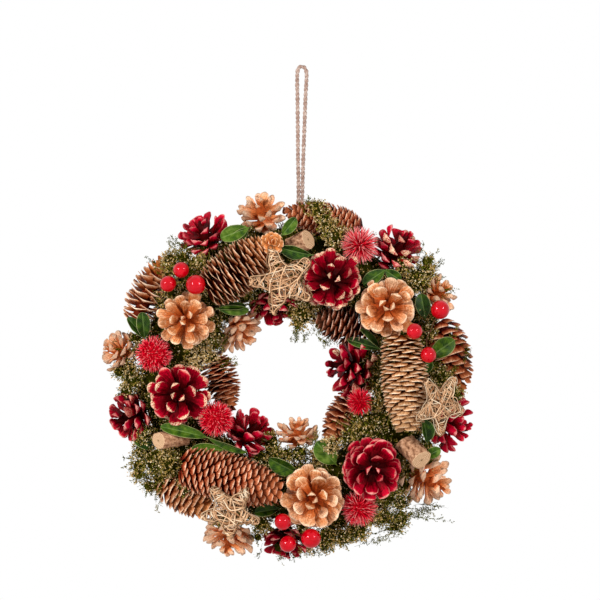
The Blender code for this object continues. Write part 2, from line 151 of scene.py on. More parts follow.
class Pile:
    """Closed shells gathered into one mesh. Each point has a tint of four numbers that the finish reads, and
    each face corner has a place on the paint map."""

    def __init__(self):
        self.points, self.tints, self.corners, self.places, self.sizes, self.slots = [], [], [], [], [], []
        self.count = 0

    def add_faces(self, corners, places, slot=0):
        """Faces by the numbers of their points, with the place of each corner on the paint map."""
        self.corners.append(corners.reshape(-1))
        self.places.append(places.reshape(-1, 2))
        self.sizes.append(np.full(len(corners), corners.shape[1]))
        self.slots.append(np.full(len(corners), slot))

    def add_points(self, points, tints):
        """Points and their tints, in any shape that ends in three and four numbers."""
        points = np.asarray(points, float).reshape(-1, 3)
        self.points.append(points)
        self.tints.append(np.asarray(tints, float).reshape(-1, 4))
        self.count += len(points)

    def lofts(self, rings, tints, boxes=None, closed=False, slot=0):
        """Shells drawn through rings of points: rings and tints are (shells, rings, points, 3). boxes give
        each shell its own patch of the paint map; without them its place there is its tint."""
        shells, count, sides = rings.shape[:3]
        tints = np.broadcast_to(tints, (*rings.shape[:3], 4))
        index = self.count + np.arange(shells * count * sides).reshape(shells, count, sides)
        self.add_points(rings, tints)
        steps = count if closed else count - 1
        k, m = np.meshgrid(np.arange(steps), np.arange(sides), indexing="ij")
        k, m = k.ravel(), m.ravel()
        k2, m2 = (k + 1) % count, (m + 1) % sides
        quads = np.stack([index[:, k, m], index[:, k, m2], index[:, k2, m2], index[:, k2, m]], -1)
        if boxes is None:
            flat = tints.reshape(-1, 4)[:, :2]
            spots = flat[quads - index[0, 0, 0]]
        else:
            u = np.stack([m, m + 1, m + 1, m], -1) / sides
            v = np.stack([k, k, k + 1, k + 1], -1) / steps
            local = np.stack([u, v], -1)[None]
            spots = boxes[:, None, None, :2] + local * (boxes[:, None, None, 2:] - boxes[:, None, None, :2])
        self.add_faces(quads.reshape(-1, 4), spots, slot)
        if closed:
            return
        for ring, order in ((0, slice(None, None, -1)), (count - 1, slice(None))):
            caps = index[:, ring, order]
            if boxes is None:
                spots = flat[caps - index[0, 0, 0]]
            else:
                turn = 2 * math.pi * np.arange(sides)[order] / sides
                across = boxes[:, 2:] - boxes[:, :2]
                middle = 0.06 if ring == 0 else 0.94  # each end is a small disc at its side of the patch
                end = np.stack([0.5 + 0.06 * np.cos(turn), middle + 0.05 * np.sin(turn)], -1)
                spots = boxes[:, None, :2] + end[None] * across[:, None]
            self.add_faces(caps, spots, slot)

    def buds(self, roots, tips, widths, tints, belly=0.45):
        """Small folded leaflets from their roots to their tips, each a closed shell of four faces. tints are
        (leaflets, 2, 4): at the root and at the tip."""
        count = len(roots)
        along = tips - roots
        first, second = sides_of(along)
        spin = (np.arange(count) * GOLDEN_TURN)[:, None]
        side = np.cos(spin) * first + np.sin(spin) * second
        fold = np.cross(unit(along), side)
        widths = np.asarray(widths)[:, None]
        waist = roots + belly * along
        corners = [roots, waist + widths * (side + 0.5 * fold), waist + widths * (0.5 * fold - side), tips]
        index = self.count + 4 * np.arange(count)[:, None]
        mid = tints.mean(1)[:, None]
        shades = np.concatenate([tints[:, :1], mid, mid, tints[:, 1:]], 1)
        self.add_points(np.stack(corners, 1), shades)
        faces = np.array([[0, 2, 1], [1, 2, 3], [0, 1, 3], [0, 3, 2]])
        spots = shades[:, :, :2][:, faces].reshape(-1, 3, 2)
        self.add_faces((index[:, None] + faces[None]).reshape(-1, 3), spots)

    def build(self, name, finishes, smooth=True, crisp=None):
        """The mesh, as a piece that rides on the wreath's one body. Edges of more than crisp degrees stay
        sharp."""
        mesh = bpy.data.meshes.new(name)
        points, corners = np.concatenate(self.points), np.concatenate(self.corners)
        sizes = np.concatenate(self.sizes)
        mesh.vertices.add(len(points))
        mesh.vertices.foreach_set("co", points.astype(np.float32).ravel())
        mesh.loops.add(len(corners))
        mesh.loops.foreach_set("vertex_index", corners.astype(np.int32))
        mesh.polygons.add(len(sizes))
        mesh.polygons.foreach_set("loop_start", (np.cumsum(sizes) - sizes).astype(np.int32))
        mesh.polygons.foreach_set("material_index", np.concatenate(self.slots).astype(np.int32))
        mesh.polygons.foreach_set("use_smooth", np.full(len(sizes), smooth))
        mesh.update(calc_edges=True)
        tints = np.concatenate(self.tints).astype(np.float32)
        mesh.attributes.new("tint", "FLOAT_COLOR", "POINT").data.foreach_set("color", tints.ravel())
        places = np.clip(np.concatenate(self.places), 0.002, 0.998).astype(np.float32)
        mesh.uv_layers.new(name="OFBake", do_init=False).uv.foreach_set("vector", places.ravel())
        if crisp:
            mesh.set_sharp_from_angle(angle=math.radians(crisp))
        for finish in finishes:
            mesh.materials.append(finish)
        piece = bpy.data.objects.new(name, mesh)
        bpy.context.scene.collection.objects.link(piece)
        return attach(piece, "root")


def paint_boxes(count, margin=0.06):
    """Square patches of the paint map, one for each shell, with margin of each left empty at its sides."""
    across = math.ceil(math.sqrt(count))
    i = np.arange(count)
    low = np.stack([i % across + margin, i // across + margin], -1) / across
    return np.concatenate([low, low + (1 - 2 * margin) / across], 1)


def tubes(pile, lines, radii, tints, sides=5, slot=0):
    """Round shells along lines of points: lines is (tubes, points, 3), and radii has its first two sides."""
    along = np.gradient(lines, axis=1)
    first, second = sides_of(along)
    for i in range(1, lines.shape[1]):  # carried from point to point, so that no tube twists shut
        way, last = unit(along[:, i]), first[:, i - 1]
        first[:, i] = unit(last - (last * way).sum(-1, keepdims=True) * way)
    second = np.cross(unit(along), first)
    turn = 2 * math.pi * np.arange(sides) / sides
    radii = np.broadcast_to(radii, lines.shape[:2])[..., None, None]
    across = np.cos(turn)[:, None] * first[:, :, None] + np.sin(turn)[:, None] * second[:, :, None]
    pile.lofts(lines[:, :, None] + radii * across, tints, slot=slot)


def circle(sides, axis):
    """Unit vectors round an axis, in equal turns, and the turns."""
    first, second = sides_of(axis)
    turn = 2 * math.pi * np.arange(sides) / sides
    return np.cos(turn)[:, None] * first + np.sin(turn)[:, None] * second, turn


def turned(pile, centre, axis, profile, sides, tint, slot=0):
    """A turned shell: profile is (along, radius) pairs in metres."""
    across, _ = circle(sides, axis)
    along, radius = np.array(profile).T
    rings = centre + along[:, None, None] * axis + radius[:, None, None] * across
    pile.lofts(rings[None], np.asarray(tint, float), slot=slot)


# ------------------------------------------------------------------ finishes

def linear(code):
    """An sRGB hex colour as linear RGBA."""
    parts = [int(code[i:i + 2], 16) / 255 for i in (1, 3, 5)]
    return (*[c / 12.92 if c <= 0.04045 else ((c + 0.055) / 1.055) ** 2.4 for c in parts], 1.0)


def per(millimetres):
    """The texture scale whose pattern repeats about once in that many millimetres."""
    return 1 / (millimetres * MM)


def add(tree, kind, inputs=(), stops=(), output=None, **settings):
    """Adds a node with its settings, its colour stops and its inputs, which are values or sockets, by name or
    in order. Returns the output that is asked for, or else the first one in use."""
    made = tree.nodes.new("ShaderNode" + kind)
    for name, value in settings.items():
        setattr(made, name, value)
    for number, (position, colour) in enumerate(stops):
        stop = made.color_ramp.elements[number] if number < 2 else made.color_ramp.elements.new(position)
        stop.position, stop.color = position, linear(colour)
    for place, value in inputs.items() if isinstance(inputs, dict) else enumerate(inputs):
        if isinstance(value, bpy.types.NodeSocket):
            tree.links.new(value, made.inputs[place])
        else:
            made.inputs[place].default_value = value
    return made.outputs[output] if output else next(socket for socket in made.outputs if socket.enabled)


# Settings that several nodes share: kinds of sum, a rise eased at both ends, and a mix of colours.
TIMES, MINUS, OVER = dict(operation="MULTIPLY"), dict(operation="SUBTRACT"), dict(operation="DIVIDE")
LARGER, POWER = dict(operation="MAXIMUM"), dict(operation="POWER")
EASED = dict(interpolation_type="SMOOTHSTEP")
COLOURS = dict(data_type="RGBA")


def new_finish(name, roughness, specular=0.5, **more):
    """A material with its Principled shader's plain numbers set. Returns it, its tree and the shader."""
    made = bpy.data.materials.new(name)
    made.use_nodes = True
    shader = made.node_tree.nodes["Principled BSDF"]
    shader.inputs["Roughness"].default_value = roughness
    shader.inputs["Specular IOR Level"].default_value = specular
    for socket, value in more.items():
        shader.inputs[socket.replace("_", " ")].default_value = value
    return made, made.node_tree, shader


def tint_channels(tree):
    """The four numbers of the tint at a point."""
    tint = add(tree, "Attribute", attribute_name="tint", output="Color")
    split = add(tree, "SeparateColor", [tint])
    return [*split.node.outputs, tint.node.outputs["Alpha"]]


def lay(tree, shader, colour, roughness, relief):
    """Lays a colour, a roughness and a relief on the shader."""
    tree.links.new(colour, shader.inputs["Base Color"])
    tree.links.new(roughness, shader.inputs["Roughness"])
    tree.links.new(relief, shader.inputs["Normal"])


def scale_finish(name, ramp, rim, rim_and_highlight_strength, end_tone=None, umbo=None, frost=None, waxed=None,
                 blotches_and_sheen=None, tip_tone=None, roughness=0.55, specular=0.06, spread=0.4, mottle=0.20,
                 vivid=1.0):
    """Woody cone scales, coloured along their length by ramp, which darkens towards each scale's root:
    painted shade where it lies under the next. Their tint is the share of the scale's length, its lot, the
    share across it, and 1 on its upper face, or the share of the cone's length on a spruce's."""
    made, tree, shader = new_finish(name, roughness, specular)
    along, lot, across, face = tint_channels(tree)
    where = add(tree, "TexCoord", output="Object")
    # Grain runs along the scale: a scale is about twelve grains wide and two long.
    course = add(tree, "CombineXYZ", [add(tree, "Math", (part, grains), **TIMES)
                                      for part, grains in ((across, 12.0), (along, 2.4), (lot, 91.0))])
    grain = add(tree, "TexNoise", {"Vector": course, "Scale": 1.0, "Detail": 3.0})
    speck = add(tree, "TexNoise", {"Vector": where, "Scale": per(1.1), "Detail": 3.0, "Roughness": 0.65})
    off_middle = add(tree, "Math", (add(tree, "Math", (across, 0.5), **MINUS), 2.0), **TIMES)
    edge = add(tree, "Math", [off_middle], operation="ABSOLUTE")
    wander = add(tree, "MapRange", (grain, 0.25, 0.75, -0.14, 0.14), clamp=False)
    moved = add(tree, "Math", (along, wander))
    beneath = add(tree, "Math", (1.0, face), **MINUS)
    # Each ramp darkens towards the root of the scale, where it lies under the next: painted shade.
    colour = add(tree, "ValToRGB", [moved], stops=ramp)
    if tip_tone:
        tipped = add(tree, "MapRange", (face, 0.55, 1.0, 0.0, 0.75), **EASED)
        colour = add(tree, "Mix", {"Factor": tipped, "A": colour, "B": linear(tip_tone)}, **COLOURS)
    if blotches_and_sheen:  # dark and pale blotches, about 3.5 mm across; the pale ones, towards the scale's end, are mottled stain with a painted sheen
        dark, pale = blotches_and_sheen
        cloud = add(tree, "TexNoise", {"Vector": where, "Scale": per(3.5), "Detail": 4.0, "Roughness": 0.6,
                                       "Distortion": 0.6})
        part = add(tree, "MapRange", (cloud, 0.30, 0.46, 0.75, 0.0), **EASED)
        colour = add(tree, "Mix", {"Factor": part, "A": colour, "B": linear(dark)}, **COLOURS)
        part = add(tree, "Math", (add(tree, "MapRange", (cloud, 0.50, 0.68, 0.0, 0.65), **EASED),
                                  add(tree, "MapRange", (along, 0.35, 0.70), **EASED)), **TIMES)
        colour = add(tree, "Mix", {"Factor": part, "A": colour, "B": linear(pale)}, **COLOURS)
    if waxed:  # wax that has turned pale towards the ends of scales of a high lot
        part = add(tree, "Math", (add(tree, "MapRange", (lot, 0.45, 0.95), **EASED),
                                  add(tree, "MapRange", (moved, 0.50, 0.95), **EASED)), **TIMES)
        thin = add(tree, "MapRange", (speck, 0.35, 0.6, 0.3, 0.9), **EASED)
        part = add(tree, "Math", (part, thin), **TIMES)
        colour = add(tree, "Mix", {"Factor": part, "A": colour, "B": linear(waxed)}, **COLOURS)
    if end_tone:  # the blunt end, which faces down when the scale is level
        end = add(tree, "Math", (beneath, add(tree, "MapRange", (along, 0.70, 0.78), **EASED)), **TIMES)
        thin = add(tree, "MapRange", (speck, 0.3, 0.6, 0.45, 0.95), **EASED)
        part = add(tree, "Math", (end, thin), **TIMES)
        colour = add(tree, "Mix", {"Factor": part, "A": colour, "B": linear(end_tone)}, **COLOURS)
    # Rims and tips are worn through and carry a painted highlight, on some scales more than on others.
    rim_wear_and_highlight = add(tree, "Math", (add(tree, "MapRange", (edge, 0.84, 0.97), **EASED),
                              add(tree, "MapRange", (along, 0.66, 0.90), **EASED)), **TIMES)
    rim_wear_and_highlight = add(tree, "Math", (rim_wear_and_highlight, add(tree, "MapRange", (along, 0.93, 0.98), **EASED)), **LARGER)
    own = add(tree, "Math", (add(tree, "Math", (lot, 7.3), **TIMES), 1.0), operation="MODULO")
    rim_wear_and_highlight = add(tree, "Math", (rim_wear_and_highlight, add(tree, "MapRange", (speck, 0.30, 0.55, 0.35, 1.0), **EASED)), **TIMES)
    deep = add(tree, "MapRange", (own, 0.2, 0.6, 0.45 * rim_and_highlight_strength, rim_and_highlight_strength), **EASED)
    rim_wear_and_highlight = add(tree, "Math", (rim_wear_and_highlight, deep), **TIMES)
    colour = add(tree, "Mix", {"Factor": rim_wear_and_highlight, "A": colour, "B": linear(rim)}, **COLOURS)
    if frost:  # white paint rubbed on the ends of scales of a high lot
        uneven = add(tree, "Math", (along, add(tree, "Math", (wander, 0.3), **TIMES)))
        above = add(tree, "MapRange", (uneven, 0.885, 0.93), **EASED)
        chosen = add(tree, "MapRange", (lot, 0.50, 0.65), **EASED)
        part = add(tree, "Math", (add(tree, "Math", (end, above), **LARGER), chosen), **TIMES)
        thin = add(tree, "MapRange", (speck, 0.42, 0.56, 0.0, 0.95), **EASED)
        part = add(tree, "Math", (part, thin), **TIMES)
        colour = add(tree, "Mix", {"Factor": part, "A": colour, "B": linear(frost)}, **COLOURS)
    if umbo:  # a small oval in the middle of the blunt end
        high = add(tree, "Math", (add(tree, "Math", (along, 0.83), **MINUS), 0.055), **OVER)
        wide = add(tree, "Math", (off_middle, 0.32), **OVER)
        spot = add(tree, "Math", [add(tree, "Math", (way, 2.0), **POWER) for way in (high, wide)])
        part = add(tree, "MapRange", (spot, 0.5, 1.3, 0.8, 0.0), **EASED)
        part = add(tree, "Math", (part, beneath), **TIMES)
        colour = add(tree, "Mix", {"Factor": part, "A": colour, "B": linear(umbo)}, **COLOURS)
    depth = add(tree, "MapRange", {"Value": own, "To Min": 1 - spread / 2, "To Max": 1 + spread / 2})
    mottled = add(tree, "Math", (
        add(tree, "MapRange", (speck, 0.25, 0.75, 1 - mottle, 1 + mottle), **EASED),
        add(tree, "MapRange", (grain, 0.3, 0.7, 0.86, 1.12), **EASED)), **TIMES)
    shade = add(tree, "Math", (depth, mottled), **TIMES)
    height = add(tree, "Math", (grain, speck))
    lay(tree, shader, add(tree, "HueSaturation", {"Value": shade, "Saturation": vivid, "Color": colour}),
        add(tree, "MapRange", (speck, 0.3, 0.7, roughness - 0.12, roughness + 0.15), **EASED),
        add(tree, "Bump", {"Height": height, "Strength": 0.6, "Distance": 0.4 * MM}))
    return made


def fibre_finish(name, ramp, roughness=0.75, root_shade=0.45, patch_mm=2.5, wander=0.05, vivid=1.0):
    """Thin stuff such as bristles, vine, straw, moss and twine. The first number of the tint is its lot,
    which picks the colour, and the second runs from root to tip: painted shade, darkest at the root,
    down to root_shade."""
    made, tree, shader = new_finish(name, roughness, specular=0.05)
    lot, height, _, _ = tint_channels(tree)
    where = add(tree, "TexCoord", output="Object")
    mottle = add(tree, "TexNoise", {"Vector": where, "Scale": per(patch_mm), "Detail": 2.0})
    moved = add(tree, "Math", (lot, add(tree, "MapRange", (mottle, 0.3, 0.7, -wander, wander))))
    body = add(tree, "ValToRGB", [moved], stops=ramp)
    # Painted shade: the colour darkens towards the root, down to root_shade.
    shade = add(tree, "MapRange", {"Value": height, "To Min": root_shade, "To Max": 1.0})
    lay(tree, shader, add(tree, "HueSaturation", {"Value": shade, "Saturation": vivid, "Color": body}),
        add(tree, "MapRange", (mottle, 0.3, 0.7, roughness - 0.1, roughness + 0.1), **EASED),
        add(tree, "Bump", {"Height": mottle, "Strength": 0.3, "Distance": 0.2 * MM}))
    return made


# Pine scales, dried open and waxed: orange, darkening towards the root with painted shade where they lie one
# under another; pale on their thick rims, worn and with a painted highlight, and on the blunt end that each
# turns outwards, with a small grey brown umbo.
WAXED_PINE = scale_finish(
    "waxed_pine_scale",
    [(0.0, "#721E00"), (0.30, "#9C3E0A"), (0.60, "#C6682E"), (0.86, "#D48A54"), (1.0, "#E8AE84")],
    rim="#F4D2B0", rim_and_highlight_strength=0.9, end_tone="#CC9062", umbo="#8A5C40", waxed="#EABE98",
    blotches_and_sheen=("#943C0E", "#EEC096"), roughness=0.5, spread=0.3, mottle=0.32, vivid=0.99)
# Older scales of the same kind, brighter inside, their blunt ends worn to a speckled grey brown.
WORN_PINE = scale_finish(
    "worn_pine_scale",
    [(0.0, "#A4440E"), (0.30, "#D27230"), (0.62, "#F0A066"), (0.85, "#FCC094"), (1.0, "#CAA488")],
    rim="#A88A74", rim_and_highlight_strength=0.75, end_tone="#DAAC8A", umbo="#7A5A46", waxed="#FFDCBC",
    blotches_and_sheen=("#B85C22", "#FFD6AE"), roughness=0.5, spread=0.35, mottle=0.32, vivid=0.98)
# The same scales dipped in burgundy stain. White paint is rubbed on the ends of some, those of a high lot.
STAINED_PINE = scale_finish(
    "stained_pine_scale",
    [(0.0, "#240000"), (0.42, "#480004"), (0.66, "#780210"), (0.86, "#A60C22"), (1.0, "#CA2E40")],
    rim="#EEB4A6", rim_and_highlight_strength=0.7, end_tone="#9C142A", frost="#EAD0AA", blotches_and_sheen=("#380002", "#B41C30"),
    roughness=0.5, specular=0.04, spread=0.5, vivid=1.06)
# A stronger, brighter stain, with fewer pale rims of wear and painted highlight.
BRIGHT_STAIN = scale_finish(
    "bright_stained_pine_scale",
    [(0.0, "#380000"), (0.42, "#6C0208"), (0.66, "#A40E20"), (0.86, "#C82436"), (1.0, "#E05662")],
    rim="#F0B0A8", rim_and_highlight_strength=0.6, end_tone="#B61E34", frost="#EAD0AA", blotches_and_sheen=("#4A0004", "#CA2C40"),
    roughness=0.5, specular=0.08, spread=0.5, vivid=1.06)
# Spruce scales: dry, thin and satin, with painted shade in the hollow under each, and a pale rim that is
# partly worn and partly a painted highlight.
BROWN_SPRUCE = scale_finish(
    "brown_spruce_scale",
    [(0.0, "#3C0400"), (0.55, "#6A2008"), (0.76, "#9C5830"), (0.92, "#CC906C"), (1.0, "#F4C8A4")],
    rim="#FBD4B0", rim_and_highlight_strength=0.95, tip_tone="#E89450")
DARK_SPRUCE = scale_finish(
    "dark_spruce_scale",
    [(0.0, "#260000"), (0.55, "#421002"), (0.78, "#743018"), (0.93, "#A4664A"), (1.0, "#D8A48E")],
    rim="#E4B8A0", rim_and_highlight_strength=0.9, tip_tone="#8A5238")
RUSSET_SPRUCE = scale_finish(
    "russet_spruce_scale",
    [(0.0, "#6C1400"), (0.50, "#A2481E"), (0.76, "#D08A5C"), (0.92, "#F0BA94"), (1.0, "#FFDCBC")],
    rim="#FFE2C4", rim_and_highlight_strength=0.9, tip_tone="#E07C38")
CINNAMON_SPRUCE = scale_finish(
    "cinnamon_spruce_scale",
    [(0.0, "#4A0A00"), (0.50, "#7C2208"), (0.76, "#AC5230"), (0.92, "#CC805A"), (1.0, "#F0B694")],
    rim="#F6C8A8", rim_and_highlight_strength=0.7, tip_tone="#B06038", roughness=0.48)
TAN_SPRUCE = scale_finish(
    "tan_spruce_scale",
    [(0.0, "#6A1C00"), (0.50, "#94501E"), (0.76, "#CC9462"), (0.92, "#EEBE94"), (1.0, "#FFE0BC")],
    rim="#FFE6C6", rim_and_highlight_strength=0.95, tip_tone="#DCA876")
REDDISH_SPRUCE = scale_finish(
    "reddish_spruce_scale",
    [(0.0, "#3A0400"), (0.50, "#6C1A08"), (0.76, "#9C4C2C"), (0.92, "#C0764E"), (1.0, "#E6A886")],
    rim="#F0C4A4", rim_and_highlight_strength=0.75, tip_tone="#B86838")
# Thistle bristles dyed crimson, faded pink at their tips.
DYED_THISTLE = fibre_finish(
    "dyed_thistle_bristle",
    [(0.0, "#D00014"), (0.35, "#FF2840"), (0.65, "#FF6E76"), (1.0, "#FFAEA8")], roughness=0.6, root_shade=0.6,
    vivid=1.06)
# Vine, peeled and dried pale.
DRIED_VINE = fibre_finish(
    "dried_peeled_vine",
    [(0.0, "#8A5028"), (0.35, "#C49066"), (0.7, "#F0C296"), (1.0, "#FFEACA")], roughness=0.6, root_shade=0.12)
# Sheet moss, dried: dark olive with leaves and capsules that have faded to straw.
DRIED_MOSS = fibre_finish(
    "dried_sheet_moss",
    [(0.0, "#2C1E04"), (0.2, "#44480E"), (0.42, "#727434"), (0.6, "#BC9E64"), (0.8, "#EACA98"),
     (1.0, "#FFF2D2")], roughness=0.9, root_shade=0.4, wander=0.10, vivid=1.15)
# Rye straw, cut and bound.
RYE_STRAW = fibre_finish(
    "bound_rye_straw",
    [(0.0, "#7E6130"), (0.4, "#AC8A4C"), (0.75, "#CFAE6C"), (1.0, "#E5CB90")], roughness=0.5, root_shade=0.7)
# Jute, spun in two plies: pale grey brown and hairy.
SPUN_JUTE = fibre_finish(
    "spun_jute_ply",
    [(0.0, "#8A6A58"), (0.4, "#AF9082"), (0.75, "#C4A99B"), (1.0, "#DEC9BC")], roughness=0.9, root_shade=0.6,
    patch_mm=1.5, wander=0.1)


def berry_finish():
    """Polystyrene berries dipped in red lacquer: an even deep red, with a smooth hard gloss."""
    made, tree, shader = new_finish("dipped_red_lacquer", 0.09, specular=0.9, Specular_Tint=linear("#FF8490"))
    where = add(tree, "TexCoord", output="Object")
    cloud = add(tree, "TexNoise", {"Vector": where, "Scale": per(6.0), "Detail": 2.0})
    lay(tree, shader, add(tree, "ValToRGB", [cloud], stops=[(0.3, "#B4000C"), (0.7, "#D00018")]),
        add(tree, "MapRange", (cloud, 0.3, 0.7, 0.08, 0.11), **EASED),
        add(tree, "Bump", {"Height": cloud, "Strength": 0.05, "Distance": 0.2 * MM}))
    return made


def leaf_finish():
    """Box leaves, preserved in glycerine: deep green and satin, with a thin pale rim and veins, and paler
    underneath. Their tint is the share of the length, that from midrib to rim, 1 underneath, and a lot."""
    made, tree, shader = new_finish("preserved_box_leaf", 0.42, specular=0.12)
    along, across, under, lot = tint_channels(tree)
    where = add(tree, "TexCoord", output="Object")
    blotch = add(tree, "TexNoise", {"Vector": where, "Scale": per(6.0), "Detail": 3.0})
    own = add(tree, "Math", (add(tree, "Math", (lot, 0.5), **MINUS), 0.30), **TIMES)
    colour = add(tree, "ValToRGB", [add(tree, "Math", (blotch, own))],
                 stops=[(0.26, "#102404"), (0.44, "#26440C"), (0.60, "#44620E"), (0.78, "#6C8432")])
    # Side veins leave the midrib about every 2.5 mm and run forward.
    course = add(tree, "Math", (along, add(tree, "Math", (across, -0.35), **TIMES)))
    ribs = add(tree, "Math", [add(tree, "Math", (course, 68.0), **TIMES)], operation="SINE")
    veins = add(tree, "Math", (add(tree, "MapRange", (ribs, 0.80, 1.0, 0.0, 0.22), **EASED),
                               add(tree, "MapRange", (across, 0.03, 0.12, 0.5, 0.0), **EASED)), **LARGER)
    rim = add(tree, "MapRange", (across, 0.90, 0.99, 0.0, 0.8), **EASED)
    for part, tone in ((veins, "#7C9652"), (under, "#87985F"), (rim, "#B9B87E")):
        colour = add(tree, "Mix", {"Factor": part, "A": colour, "B": linear(tone)}, **COLOURS)
    height = add(tree, "Math", (veins, blotch))
    lay(tree, shader, colour, add(tree, "MapRange", (blotch, 0.3, 0.7, 0.36, 0.52), **EASED),
        add(tree, "Bump", {"Height": height, "Strength": 0.4, "Distance": 0.25 * MM}))
    return made


def bark_finish():
    """Branch bark, dry and unpeeled: grey brown plates with dark cracks along the branch. The second number
    of the tint is low in a crack."""
    made, tree, shader = new_finish("dry_branch_bark", 0.85, specular=0.08)
    _, groove, _, _ = tint_channels(tree)
    where = add(tree, "TexCoord", output="Object")
    flakes = add(tree, "TexNoise", {"Vector": where, "Scale": per(2.2), "Detail": 4.0, "Roughness": 0.65})
    body = add(tree, "ValToRGB", [add(tree, "Math", (flakes, groove), **TIMES)],
               stops=[(0.10, "#3C2016"), (0.28, "#7E543C"), (0.44, "#AA7C5C"), (0.58, "#C69674"),
                      (0.75, "#E4B694")])
    lay(tree, shader, body, add(tree, "MapRange", (flakes, 0.3, 0.7, 0.75, 0.95), **EASED),
        add(tree, "Bump", {"Height": flakes, "Strength": 0.6, "Distance": 0.5 * MM}))
    return made


def sawn_finish():
    """Branch ends, sawn square: pale wood with six wavering year rings and a small dark pith. The first
    number of the tint is the share of the branch's radius."""
    made, tree, shader = new_finish("sawn_branch_end", 0.7, specular=0.10)
    out = tint_channels(tree)[0]
    where = add(tree, "TexCoord", output="Object")
    fibre = add(tree, "TexNoise", {"Vector": where, "Scale": per(1.0), "Detail": 2.0})
    wavy = add(tree, "Math", [add(tree, "Math", (part, waves), **TIMES)
                              for part, waves in ((out, 40.0), (fibre, 3.0))])
    year = add(tree, "MapRange", (add(tree, "Math", [wavy], operation="SINE"), -1.0, 1.0), **EASED)
    rings = add(tree, "ValToRGB", [year], stops=[(0.0, "#B88C64"), (0.5, "#D6AC84"), (1.0, "#EAC49E")])
    pith = add(tree, "MapRange", (out, 0.06, 0.20, 1.0, 0.0), **EASED)
    lay(tree, shader, add(tree, "Mix", {"Factor": pith, "A": rings, "B": linear("#8E6C49")}, **COLOURS),
        add(tree, "MapRange", (fibre, 0.3, 0.7, 0.62, 0.8), **EASED),
        add(tree, "Bump", {"Height": fibre, "Strength": 0.3, "Distance": 0.2 * MM}))
    return made


LACQUER, BOX_LEAF, BARK, SAWN_END = berry_finish(), leaf_finish(), bark_finish(), sawn_finish()


# ------------------------------------------------------------------ cones

def scales(pile, centre, axis, turn, out, up, rise, bend, reach, half, thick, shape, cup, lots, face=None,
           sides=10, roll=0.0, ragged=None):
    """Woody scales round an axis. Each scale's tip stands at (out, up) and points at rise above the level,
    having bent up by bend from its root; reach is its length, half its half width and thick its half
    thickness. shape is rows of (share of the length, of the width, how many times thick the midline stands
    above the thin edges, and below them); cup lifts the edges; ragged shakes each row."""
    first, second = sides_of(axis)
    share, wide, above, below = np.array(shape).T
    count = len(turn)
    angle = rise[:, None] - bend[:, None] * (1 - share[None] ** 1.3)
    step = np.diff(share)
    run_out = np.cumsum(np.c_[np.zeros(count), np.cos((angle[:, 1:] + angle[:, :-1]) / 2) * step], 1)
    run_up = np.cumsum(np.c_[np.zeros(count), np.sin((angle[:, 1:] + angle[:, :-1]) / 2) * step], 1)
    line_out = out[:, None] + reach[:, None] * (run_out - run_out[:, -1:])
    line_up = up[:, None] + reach[:, None] * (run_up - run_up[:, -1:])
    radial = np.cos(turn)[:, None] * first + np.sin(turn)[:, None] * second
    tangent = -np.sin(turn)[:, None] * first + np.cos(turn)[:, None] * second
    normal = -np.sin(angle)[..., None] * radial[:, None] + np.cos(angle)[..., None] * axis
    line = centre + line_out[..., None] * radial[:, None] + line_up[..., None] * axis
    ring = 2 * math.pi * (np.arange(sides) + 0.5) / sides
    rows = np.ones((count, len(share), 1)) if ragged is None else ragged
    x = np.cos(ring) * half[:, None, None] * wide[None, :, None] * rows
    ridge = np.sin(ring) * (0.55 + 0.45 * np.exp(-(np.cos(ring) / 0.3) ** 2))
    keel = -(1 - np.abs(np.cos(ring))) ** 0.75
    y = np.where(np.sin(ring) > 0, above[:, None] * ridge, below[:, None] * keel) * thick[:, None, None]
    y = y + cup[:, None, None] * x * x / np.maximum(half, 1e-9)[:, None, None]
    twist = np.broadcast_to(roll, turn.shape)[:, None, None]
    x, y = x * np.cos(twist) - y * np.sin(twist), x * np.sin(twist) + y * np.cos(twist)
    rings = line[:, :, None] + x[..., None] * tangent[:, None, None] + y[..., None] * normal[:, :, None]
    face = (np.sin(ring) > 0)[None, None] if face is None else face[:, None, None]
    tints = stacked(share[None, :, None], lots[:, None, None], 0.5 + 0.5 * np.cos(ring)[None, None], face)
    pile.lofts(rings, tints, paint_boxes(count))


# A pine scale: a narrow claw that widens to a rounded end, thick beneath. The second tapers like a finger.
PETAL = [(0.0, 0.36, 0.5, 0.7), (0.20, 0.44, 0.5, 0.7), (0.40, 0.58, 0.5, 0.8), (0.56, 0.74, 0.5, 0.9),
         (0.68, 0.88, 0.6, 1.1), (0.76, 0.97, 0.7, 1.6), (0.83, 1.0, 0.8, 2.1), (0.89, 0.96, 0.9, 1.9),
         (0.94, 0.82, 0.9, 1.4), (0.975, 0.60, 0.7, 0.8), (1.0, 0.30, 0.2, 0.2)]
FINGER = [(0.0, 0.54, 0.5, 0.9), (0.24, 0.68, 0.5, 0.9), (0.44, 0.84, 0.5, 1.0), (0.60, 0.95, 0.6, 1.1),
          (0.71, 1.0, 0.7, 1.6), (0.79, 0.97, 0.8, 2.4), (0.85, 0.88, 0.8, 2.2), (0.91, 0.73, 0.8, 1.7),
          (0.96, 0.53, 0.6, 1.0), (0.985, 0.36, 0.4, 0.6), (1.0, 0.18, 0.1, 0.2)]
# How scales lie in an open cone, by their number from its tip: the reach of their ends and their rise.
PINE_REACH = ([0, 1, 2, 3, 5, 8, 12, 99], [0.08, 0.18, 0.28, 0.44, 0.64, 0.82, 0.96, 1.00])
PINE_RISE = ([0, 2, 4, 8, 13, 21, 34, 99], [80, 66, 54, 40, 24, 6, -10, -14])


